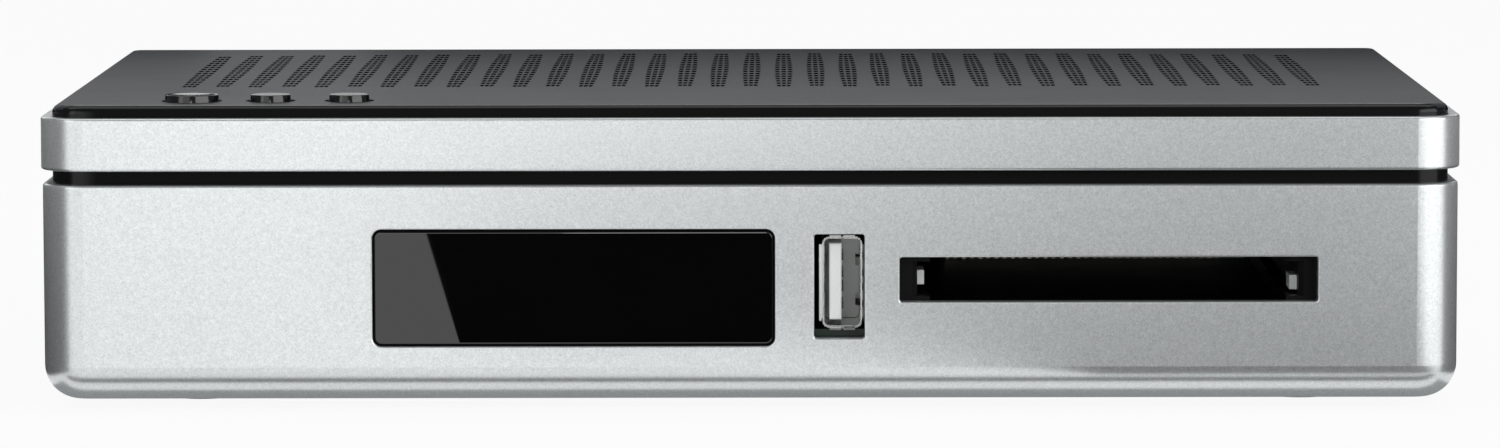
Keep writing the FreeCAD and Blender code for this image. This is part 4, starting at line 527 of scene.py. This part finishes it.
def gold_contact():
    recipe = Recipe("gold_contact")
    x, y, _ = recipe.axes()
    _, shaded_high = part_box("usb_contacts")
    # Painted shade: left of the upright socket's right edge and in the front half, the gold is dark.
    unshaded = (x - shaded_high.x).ramp(*SHADE_END).at_least(y.ramp(*REAR_HALF))
    grain = recipe.noise(900.0, 4.0)
    cloud = recipe.noise(90.0, 2.0)
    gold = recipe.blend(cloud, rgb(0.84, 0.78, 0.66), rgb(0.94, 0.89, 0.79))
    return recipe.surface(
        Base_Color=recipe.blend(unshaded, rgb(0.05, 0.048, 0.045), gold), Metallic=unshaded,
        Roughness=grain * 0.1 + 0.27, Normal=recipe.bump(grain, 0.003 * MM),
    )


def can_aluminium():
    recipe = Recipe("can_aluminium")
    _, _, z = recipe.axes()
    _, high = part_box("capacitors")
    sleeve = 1 - z.ramp(high.z - SLEEVE_FOLD[0], high.z - SLEEVE_FOLD[1])
    grain = recipe.noise(500.0, 3.0)
    bare = recipe.blend(grain, rgb(0.6, 0.6, 0.61), rgb(0.78, 0.78, 0.79))
    return recipe.surface(
        Base_Color=recipe.blend(sleeve, bare, rgb(0.012, 0.014, 0.03)), Metallic=1 - sleeve,
        Roughness=grain * 0.12 + 0.26, Normal=recipe.bump(grain, 0.004 * MM),
    )


def black_steel():
    recipe = Recipe("black_steel")
    powder = recipe.noise(1500.0, 3.0)
    cloud = recipe.noise(40.0)
    colour = recipe.blend(powder, rgb(0.014, 0.014, 0.015), rgb(0.03, 0.03, 0.031))
    return recipe.surface(
        Base_Color=colour, Roughness=cloud * 0.1 + 0.4, Normal=recipe.bump(powder, 0.02 * MM),
    )


make_finishes(gold_contact, can_aluminium, black_steel)

# %% [markdown]
# ## Circuit board
# A board is fibreglass under green lacquer. Copper tracks show through the lacquer as lighter lines, and
# tinned holes break through it. The tracks here are the cell borders of a squared-off Voronoi pattern,
# which turns and branches much as a routed board does.

# %% Circuit board
def circuit_board():
    recipe = Recipe("circuit_board")
    field = recipe.cells(260.0, "CHEBYCHEV", 0.75)
    tracks = 1 - abs(field - 0.33).ramp(0.02, 0.05)
    via = 1 - recipe.cells(420.0).ramp(0.10, 0.14)
    weave = recipe.noise(1800.0)
    lacquer = recipe.blend(tracks, rgb(0.002, 0.009, 0.005), rgb(0.004, 0.022, 0.011))
    return recipe.surface(
        Base_Color=recipe.blend(via * 0.8, lacquer, rgb(0.35, 0.33, 0.27)), Metallic=via * 0.8,
        Roughness=weave * 0.1 + 0.25, Normal=recipe.bump(tracks, 0.02 * MM, 0.5),
    )


make_finishes(circuit_board)

# %% [markdown]
# ## A finish for every node
# The record names a material slot for each node. The finish with the same name replaces the plain
# colour that came with the frame, so no node keeps a flat stand-in.

# %% Assign the finishes
for part in frame["record"]["subparts"]:
    for slot in nodes[part["node"]].material_slots:
        slot.material = finishes[part["material_slot"]]

# %% [markdown]
# ## The lid's vents
# The lid breathes through thirty-five spindle-shaped groups of tiny slots, fifteen rows of three, with
# each group shifted a little against the next. In the frame a group is one row of larger slots, which is
# right for air and strength but coarse to look at. Cutting 1,575 slots with booleans would be slow and
# fragile. Instead the two flat faces of the lid's sheet are taken away, and a constrained triangulation
# lays them again round the new slots, using the borders that are left. First come the slots' outlines.

# %% Slot pattern
VENT_GROUPS = 35
VENT_PITCH = 4.9 * MM
VENT_FOOT = FRONT + 37.0 * MM
VENT_LENGTH = 71.4 * MM
VENT_LENGTH_LOSS = 4.8 * MM  # how much shorter the outermost groups are
VENT_ROWS = 15
VENT_COLUMNS = (-1, 0, 1)
VENT_STAGGER = 1.0 * MM
SLOT_TIP_WIDTH = 0.58 * MM  # at a group's two tips; the swell adds to it towards the middle
SLOT_SWELL = 0.18 * MM
SLOT_SHARE = 0.66  # a slot's length as a share of its row's pitch
COLUMN_TIP = 0.68 * MM  # from column to column, with a swell of its own
COLUMN_SWELL = 0.30 * MM
SLOT_STEPS = 3


def slot_outline(x, y, width, length):
    """A slot with round ends, anticlockwise from its right side."""
    radius = width / 2
    points = []
    for end, start in ((1, 0.0), (-1, math.pi)):
        for step in range(SLOT_STEPS + 1):
            turn = start + math.pi * step / SLOT_STEPS
            middle = y + end * (length / 2 - radius)
            points.append((x + radius * math.cos(turn), middle + radius * math.sin(turn)))
    return points


def vent_slots():
    outlines = []
    middle = (VENT_GROUPS - 1) / 2
    for group in range(VENT_GROUPS):
        place = (group - middle) / middle
        pitch = (VENT_LENGTH - VENT_LENGTH_LOSS * place ** 2) / VENT_ROWS
        start = VENT_FOOT + (VENT_STAGGER if group % 2 else 0.0)
        for row in range(VENT_ROWS):
            swell = math.sin(math.pi * (row + 0.5) / VENT_ROWS)
            spread = COLUMN_TIP + COLUMN_SWELL * swell
            width = SLOT_TIP_WIDTH + SLOT_SWELL * swell
            for column in VENT_COLUMNS:
                x = (group - middle) * VENT_PITCH + column * spread
                outlines.append(slot_outline(x, start + (row + 0.5) * pitch, width, pitch * SLOT_SHARE))
    return outlines


slots = vent_slots()
print("vent slots", len(slots))

# %% [markdown]
# ## What the old slots leave
# The faces to take away are found by walking: from any flat face that touches the vent field, over its
# neighbours in the same plane. What is left has open borders at the sheet's two heights. A border is
# followed from vertex to vertex until it comes back to its start, so each becomes a closed loop.

# %% Flat faces and their borders
SHEET_THICKNESS = 1.8 * MM
LEVEL_SLACK = 0.004 * MM
WELD = 0.0005 * MM
NEARLY_LEVEL = 0.99  # the normal's Z on a flat face
NEARLY_UPRIGHT = 0.1  # and on a wall, at most


def in_field(vert):
    return abs(vert.co.x) < FIELD_HALF_WIDTH and abs(vert.co.y - FIELD_CENTRE) < FIELD_HALF_DEPTH


def flat_faces(mesh, z, up):
    """The flat faces at height z that join up with the vent field."""
    def flat(face):
        level = all(abs(vert.co.z - z) < LEVEL_SLACK for vert in face.verts)
        return level and face.normal.z * up > NEARLY_LEVEL

    waiting = [face for face in mesh.faces if flat(face) and any(in_field(vert) for vert in face.verts)]
    found = set(waiting)
    while waiting:
        for edge in waiting.pop().edges:
            for face in edge.link_faces:
                if face not in found and flat(face):
                    found.add(face)
                    waiting.append(face)
    return found


def border_loops(mesh, z):
    """The open borders at height z, each as a closed loop of vertices."""
    following = {}
    for edge in mesh.edges:
        if len(edge.link_faces) == 1 and all(abs(vert.co.z - z) < LEVEL_SLACK for vert in edge.verts):
            for vert in edge.verts:
                following.setdefault(vert, []).append(edge.other_vert(vert))
    loops = []
    while following:
        first = next(iter(following))
        loop = [first]
        last, here = None, first
        while True:
            choices = [vert for vert in following.pop(here) if vert is not last]
            last, here = here, choices[0]
            if here is first or here not in following:
                break
            loop.append(here)
        loops.append(loop)
    return loops


print("field", [round(2 * half / MM, 1) for half in (FIELD_HALF_WIDTH, FIELD_HALF_DEPTH)], "mm")

# %% [markdown]
# ## The new sheet
# The triangulation works in millimetres, because its tolerance is meant for numbers near 1. It gets every
# border as edges that it has to keep, and the holes as faces: a triangle that one of these covers is left
# out. The widest border is the lid's own outline. The walls of the old slots go with the flat faces, and
# each new slot gets walls of its own.

# %% Lay the lid's sheet again
INSIDE_EDGES = 1
TOLERANCE = 1e-5


def loop_width(loop):
    return max(vert.co.x for vert in loop) - min(vert.co.x for vert in loop)


def lay_sheet(mesh, z, up):
    """Fills the borders at height z with a flat sheet that leaves the slots open; returns their rims."""
    *inner, outer = sorted(border_loops(mesh, z), key=loop_width)
    rims = [[mesh.verts.new((x, y, z)) for x, y in outline] for outline in slots]
    rings = inner + rims + [outer]
    verts = [vert for ring in rings for vert in ring]
    number = {vert: index for index, vert in enumerate(verts)}
    edges = [(number[a], number[b]) for ring in rings for a, b in zip(ring, ring[1:] + ring[:1])]
    holes = [[number[vert] for vert in ring] for ring in inner + rims]
    flat = [Vector((vert.co.x / MM, vert.co.y / MM)) for vert in verts]
    _, _, faces, sources, _, covers = delaunay_2d_cdt(flat, edges, holes, INSIDE_EDGES, TOLERANCE)
    for face, cover in zip(faces, covers):
        if not cover:
            corners = [verts[sources[index][0]] for index in face]
            mesh.faces.new(corners if up > 0 else corners[::-1])
    print("sheet at", round(z, 5), "borders", len(inner) + 1, "slots", len(rims), "points", len(verts))
    return rims


def vented_lid():
    mesh = bmesh.new()
    mesh.from_mesh(nodes["top_cover"].data)
    bmesh.ops.remove_doubles(mesh, verts=mesh.verts, dist=WELD)
    mesh.normal_update()
    under = LID_TOP - SHEET_THICKNESS
    doomed = flat_faces(mesh, LID_TOP, 1) | flat_faces(mesh, under, -1)
    for face in mesh.faces:
        in_sheet = all(vert.co.z > under - LEVEL_SLACK and in_field(vert) for vert in face.verts)
        if in_sheet and abs(face.normal.z) < NEARLY_UPRIGHT:
            doomed.add(face)
    bmesh.ops.delete(mesh, geom=list(doomed), context="FACES")
    upper = lay_sheet(mesh, LID_TOP, 1)
    lower = lay_sheet(mesh, under, -1)
    for top, bottom in zip(upper, lower):
        for index in range(len(top)):
            after = (index + 1) % len(top)
            mesh.faces.new((top[after], top[index], bottom[index], bottom[after]))
    return mesh


lid_mesh = vented_lid()

# %% [markdown]
# ## From a bmesh to a piece
# Every piece made here goes the same way: its faces are smooth except over sharp edges, big flats keep
# their flat shading through a weighted-normal modifier, and it rides on a body of the frame. Normals that
# came with the frame's mesh don't fit the new faces, so they are dropped.

# %% Turn a bmesh into a piece
def make_piece(name, mesh, slot, body="housing", sharp=32.0):
    """Makes an object that rides on a body; edges that turn by more than sharp degrees stay sharp."""
    data = bpy.data.meshes.new(name)
    mesh.to_mesh(data)
    mesh.free()
    stale = data.attributes.get("custom_normal")
    if stale:
        data.attributes.remove(stale)
    data.materials.clear()
    data.materials.append(finishes[slot])
    for polygon in data.polygons:
        polygon.use_smooth = True
        polygon.material_index = 0
    data.set_sharp_from_angle(angle=math.radians(sharp))
    piece = bpy.data.objects.new(name, data)
    bpy.context.scene.collection.objects.link(piece)
    weighted = piece.modifiers.new("weighted", "WEIGHTED_NORMAL")
    weighted.keep_sharp = True
    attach(piece, body)
    print(name, len(data.polygons), "faces")
    return piece


lid = make_piece("vented_lid", lid_mesh, "black_texture")
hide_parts("top_cover")

# %% [markdown]
# ## Rings and skins
# Caps and threads are round, so both are built like a stack of hoops: a ring of vertices for each height,
# and a skin of faces from each ring to the next. A ring takes one radius per vertex, so it needn't be a
# circle, which is what lets a thread wind round a barrel.

# %% Rings and skins
ROUND_STEPS = 72
TURNS = [2 * math.pi * step / ROUND_STEPS for step in range(ROUND_STEPS)]
RIGHT = Vector((1, 0, 0))
BACK = Vector((0, 1, 0))
UP = Vector((0, 0, 1))


def circle(radius):
    return [radius] * ROUND_STEPS


def make_ring(mesh, middle, side, radii):
    """Vertices round a point, in the plane of the X axis and side."""
    arms = [RIGHT * math.cos(turn) + side * math.sin(turn) for turn in TURNS]
    return [mesh.verts.new(middle + arm * radius) for arm, radius in zip(arms, radii)]


def skin(mesh, rings):
    """Faces from each ring to the next; a ring of one vertex closes an end."""
    for first, second in zip(rings, rings[1:]):
        for step in range(ROUND_STEPS):
            after = (step + 1) % ROUND_STEPS
            corners = [first[after % len(first)], first[step % len(first)]]
            corners += [second[step % len(second)], second[after % len(second)]]
            mesh.faces.new(list(dict.fromkeys(corners)))


print("round steps", ROUND_STEPS)

# %% [markdown]
# ## Button caps
# The frame's caps are plain cylinders with a dish. A real cap leaves its mould with a few degrees of
# draft, so its side looks slightly upwards and mirrors the lamps as two upright streaks. The frame's own
# cap is cut below the new part, and the two are bridged into one closed skin, so that the flange and the
# stem under the lid stay as they are.

# %% Button caps
CAP_DRAFT = math.radians(7.5)
CAP_CUT = 1.2 * MM
CAP_BRIDGE = 0.1 * MM
CAP_EDGE = 0.12 * MM
EDGE_STEPS = 4
DISH_STEPS = 8
CAP_SIZES = {
    "power_button": (4.0 * MM, 0.22 * MM),
    "channel_down_button": (3.0 * MM, 0.06 * MM),
    "channel_up_button": (3.0 * MM, 0.06 * MM),
}


def cap_outline(radius, foot, top, dish):
    """From the middle of the dish, over the rounded edge and down the drafted side, as (radius, height)."""
    brow = radius - (top - foot) * math.tan(CAP_DRAFT)
    rim = brow - 2 * CAP_EDGE
    shares = [step / DISH_STEPS for step in range(DISH_STEPS)]
    points = [(rim * share, top - dish * (1 - share ** 2)) for share in shares]
    for step in range(EDGE_STEPS, -1, -1):
        turn = math.pi / 2 * step / EDGE_STEPS
        points.append((brow - CAP_EDGE * (1 - math.cos(turn)), top - CAP_EDGE * (1 - math.sin(turn))))
    return points + [(radius, foot)]


def cap_rings(mesh, centre, outline):
    (_, dish_floor), *rest = outline
    rings = [[mesh.verts.new((centre.x, centre.y, dish_floor))]]
    for radius, height in rest:
        rings.append(make_ring(mesh, Vector((centre.x, centre.y, height)), BACK, circle(radius)))
    return rings


for body, (radius, dish) in CAP_SIZES.items():
    cap_low, cap_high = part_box(body)
    cut_height = cap_high.z - CAP_CUT
    mesh = bmesh.new()
    mesh.from_mesh(nodes[body].data)
    bmesh.ops.remove_doubles(mesh, verts=mesh.verts, dist=WELD)
    everything = mesh.verts[:] + mesh.edges[:] + mesh.faces[:]
    cut = bmesh.ops.bisect_plane(
        mesh, geom=everything, plane_co=(0, 0, cut_height), plane_no=UP, clear_outer=True,
    )
    border = [item for item in cut["geom_cut"] if isinstance(item, bmesh.types.BMEdge)]
    outline = cap_outline(radius, cut_height + CAP_BRIDGE, cap_high.z, dish)
    rings = cap_rings(mesh, (cap_low + cap_high) / 2, outline)
    skin(mesh, rings)
    border += [mesh.edges.get(pair) for pair in zip(rings[-1], rings[-1][1:] + rings[-1][:1])]
    bmesh.ops.bridge_loops(mesh, edges=border)
    bmesh.ops.recalc_face_normals(mesh, faces=mesh.faces)
    print(body, "open edges", sum(len(edge.link_faces) != 2 for edge in mesh.edges))
    cap = make_piece(body.replace("_button", "_cap"), mesh, "gloss_black", body)
    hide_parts(body)

# %% [markdown]
# ## Threads on the aerial sockets
# An aerial plug screws onto its socket. The thread is the standard one for such sockets, 32 turns to
# the inch, a shallow V that runs up to a small chamfer at the mouth. A radius that follows the angle and
# the place along the barrel makes a true helix, without any boolean.

# %% Threaded sockets
THREAD_PITCH = 25.4 / 32 * MM
THREAD_DEPTH = 0.36 * MM
THREAD_RUN_IN = 0.4 * MM
ROWS_PER_TURN = 8
SOCKET_LIFT = 0.05 * MM
SOCKET_BORE = 3.4 * MM
SOCKET_BORE_DEPTH = 9.0 * MM
SOCKET_NECK = 4.4 * MM
SOCKET_CHAMFER = 0.4 * MM


def threaded_socket(node):
    low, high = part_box(node)
    middle = (low + high) / 2
    major = (high.x - low.x) / 2
    start = PANEL_BACK + SOCKET_LIFT

    def thread(y):
        """The barrel's radii at y: the thread's V, or the chamfer where that cuts deeper."""
        grown = THREAD_DEPTH * min(1.0, (y - start) / THREAD_RUN_IN)
        chamfer = max(0.0, y - (high.y - SOCKET_CHAMFER))
        phases = [((y - start) / THREAD_PITCH - turn / (2 * math.pi)) % 1.0 for turn in TURNS]
        return [major - max(grown * (1 - abs(2 * phase - 1)), chamfer) for phase in phases]

    rows = int((high.y - start) / THREAD_PITCH * ROWS_PER_TURN)
    heights = [start + (high.y - start) * row / rows for row in range(1, rows + 1)]
    profile = [(low.y, circle(SOCKET_NECK)), (start, circle(SOCKET_NECK)), (start, circle(major))]
    profile += [(y, thread(y)) for y in heights]
    profile += [(high.y, circle(SOCKET_BORE)), (high.y - SOCKET_BORE_DEPTH, circle(SOCKET_BORE))]
    mesh = bmesh.new()
    rings = [make_ring(mesh, Vector((middle.x, y, middle.z)), UP, radii) for y, radii in profile]
    skin(mesh, rings)
    mesh.faces.new(rings[0])
    mesh.faces.new(rings[-1][::-1])
    bmesh.ops.recalc_face_normals(mesh, faces=mesh.faces)
    piece = make_piece(node.replace("_socket", "_thread"), mesh, "nickel", sharp=40.0)
    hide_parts(node)


for node in ("lnb_in_socket", "lnb_out_socket"):
    threaded_socket(node)

# %% [markdown]
# ## Softened pins
# The card header's pins are cut from square wire, and their cut ends are a little rounded. A bevel
# modifier rounds every edge without touching the frame's mesh, so that each tip catches a spark of light.

# %% Bevelled pins
PIN_ROUND = 0.07 * MM

pin_bevel = nodes["card_pins"].modifiers.new("rounded", "BEVEL")
pin_bevel.width = PIN_ROUND
pin_bevel.segments = 2
pin_bevel.limit_method = "ANGLE"
print("pins bevelled by", round(PIN_ROUND / MM, 3), "mm")

# %% [markdown]
# ## The stage
# A wide floor, a quiet studio and soft lamps. Where the camera, a mirror or clear plastic looks at the
# floor, most of it is plain white, which keeps the background even, and the rest is lit, so the box still
# throws its shadow. To all other rays it is an ordinary white floor.

# %% Floor and studio
FLOOR_HALF = 12.0
FLOOR_WHITE_SHARE = 0.92
STUDIO_LEVEL = 0.18


def stage_plane(name, corners):
    data = bpy.data.meshes.new(name)
    data.from_pydata(corners, [], [tuple(range(len(corners)))])
    made = bpy.data.objects.new(name, data)
    bpy.context.scene.collection.objects.link(made)
    return made


def floor_paint():
    recipe = Recipe("floor_paint")
    rays = recipe.node("ShaderNodeLightPath").socket.node.outputs
    camera_ray, glossy_ray, clear_ray = [
        Value(recipe, rays[name]) for name in ("Is Camera Ray", "Is Glossy Ray", "Is Transmission Ray")
    ]
    seen = camera_ray.at_least(glossy_ray).at_least(clear_ray)
    lit = recipe.node("ShaderNodeBsdfDiffuse", inputs={"Color": rgb(0.9, 0.9, 0.9)})
    white = recipe.node("ShaderNodeEmission", inputs={"Color": rgb(1, 1, 1), "Strength": 1.0})
    return recipe.two_surfaces(seen * FLOOR_WHITE_SHARE, lit, white)


corners = ((-1, -1), (1, -1), (1, 1), (-1, 1))
floor = stage_plane("floor", [(x * FLOOR_HALF, y * FLOOR_HALF, 0) for x, y in corners])
floor.data.materials.append(floor_paint())

studio = bpy.data.worlds.new("studio")
bpy.context.scene.world = studio
studio_recipe = Recipe("studio", studio)
studio_light = {"Color": rgb(0.96, 0.98, 1.0), "Strength": STUDIO_LEVEL}
studio_recipe.finish(studio_recipe.node("ShaderNodeBackground", inputs=studio_light))
print("floor", 2 * FLOOR_HALF, "m wide, studio level", STUDIO_LEVEL)

# %% [markdown]
# ## Lamps
# Glossy things are lit by what they mirror. Tall softboxes stand left and right of the camera, so both
# rounded corners catch a bright stripe. Between them stand two low strips that only the flat front
# mirrors, and right of those nothing stands at all, so the front fades from white on the left to grey on
# the right. A lamp behind gives the matt lid its sheen, and one overhead lights the tops of things.

# %% Lamps
SOFTBOX_DISTANCE = 1.4
AIM = Vector((0.0, FRONT, 0.02))
# Azimuths in degrees, 0 towards the camera; top in metres; radiance.
LEFT_SOFTBOXES = (
    (-55.0, -38.0, 1.1, 1.9), (-38.0, -8.0, 1.1, 1.12), (-8.0, -3.0, 0.22, 2.0), (-3.0, 1.5, 0.22, 6.8),
)
RIGHT_SOFTBOX = (18.0, 79.0, 1.0, 2.9)


def area_lamp(name, place, width, height, radiance):
    """A rectangular lamp that the camera doesn't see; its energy follows from how bright it should look."""
    data = bpy.data.lights.new(name, "AREA")
    data.shape = "RECTANGLE"
    data.size = width
    data.size_y = height
    data.energy = radiance * math.pi * width * height
    lamp = bpy.data.objects.new(name, data)
    lamp.location = place
    lamp.visible_camera = False
    bpy.context.scene.collection.objects.link(lamp)
    print(name, "energy", round(data.energy, 2))
    return lamp


def softbox(name, start, end, top, radiance):
    """A lamp that stands on the floor and fills the front's view between two azimuths."""
    middle = math.radians((start + end) / 2)
    width = 2 * SOFTBOX_DISTANCE * math.tan(math.radians(end - start) / 2)
    place = (SOFTBOX_DISTANCE * math.sin(middle), FRONT - SOFTBOX_DISTANCE * math.cos(middle), top / 2)
    area_lamp(name, place, width, top, radiance).rotation_euler = (math.pi / 2, 0.0, middle)


def hung_light(name, place, width, height, radiance):
    """A lamp on a boom, aimed at the object."""
    lamp = area_lamp(name, place, width, height, radiance)
    lamp.rotation_euler = (AIM - lamp.location).to_track_quat("-Z", "Y").to_euler()


for index, numbers in enumerate(LEFT_SOFTBOXES):
    softbox("left_softbox_%d" % (index + 1), *numbers)
softbox("right_softbox", *RIGHT_SOFTBOX)
hung_light("back_light", place=(-0.25, 1.7, 0.72), width=2.4, height=0.8, radiance=1.0)
hung_light("top_light", place=(0.0, 0.1, 1.1), width=1.6, height=0.6, radiance=1.5)

# %% [markdown]
# ## Cards
# What a shiny thing mirrors can be chosen with cards that the camera doesn't see. A black card lies in
# front, so that the smoked window stays black. It ends along a slanted line on the left, and the bare
# floor beyond it is the lighter corner that the window shows. A thin card right before the housing draws
# the dark line above its rounded foot, a grey one lies beneath it, and one on each side darkens the sides.
# Behind, a dark card keeps the far end of the lid dim, and a small white one lights the button tops.

# %% Cards
CARD_LIFT = 0.2 * MM


def flat_paint(name, kind, **inputs):
    recipe = Recipe(name)
    return recipe.finish(recipe.node(kind, inputs=inputs))


def card(name, paint, corners):
    """A card that shows only in mirrors."""
    made = stage_plane(name, corners)
    made.data.materials.append(paint)
    made.visible_camera = made.visible_shadow = made.visible_diffuse = False


card_black = flat_paint("card_black", "ShaderNodeBsdfDiffuse", Color=rgb(0.01, 0.01, 0.01))
card_grey = flat_paint("card_grey", "ShaderNodeEmission", Color=rgb(0.96, 0.98, 1.0), Strength=0.3)
card_white = flat_paint("card_white", "ShaderNodeEmission", Color=rgb(1, 1, 1), Strength=0.6)

# On the floor: metres right of the middle and in front of the housing.
FLOOR_CARDS = {
    "front_card": (card_black, (
        (-0.0452, 0.079), (-0.0627, 0.29), (0.0, 0.40), (0.07, 1.38),
        (0.36, 1.38), (0.112, 0.008), (0.05, 0.008), (0.0, 0.079),
    )),
    "line_card": (card_black, ((-0.105, 0.002), (-0.105, 0.005), (0.105, 0.005), (0.105, 0.002))),
    "left_card": (card_black, ((-0.111, -0.5), (-0.9, -0.5), (-0.9, 0.77), (-0.111, 0.012))),
    "right_card": (card_black, ((0.111, -0.5), (0.111, 0.003), (0.9, 0.14), (0.9, -0.5))),
    # Painted shade: this dimly glowing grey card stands for the shaded floor under the housing, which the
    # rounded foot mirrors.
    "under_card": (card_grey, ((-0.104, -0.0013), (0.104, -0.0013), (0.104, -0.125), (-0.104, -0.125))),
}
# Upright behind the housing: how far behind, then metres right of the middle and above the floor.
REAR_CARDS = {
    "cap_card": (card_white, 0.05, ((-0.092, 0.050), (-0.092, 0.070), (-0.064, 0.070), (-0.064, 0.050))),
    "lid_card": (card_black, 0.06, ((-0.3, 0.03), (-0.3, 0.068), (0.3, 0.085), (0.3, 0.03))),
}
for name, (paint, outline) in FLOOR_CARDS.items():
    card(name, paint, [(x, FRONT - away, CARD_LIFT) for x, away in outline])
for name, (paint, behind, outline) in REAR_CARDS.items():
    card(name, paint, [(x, REAR + behind, z) for x, z in outline])
print("cards", len(FLOOR_CARDS) + len(REAR_CARDS))
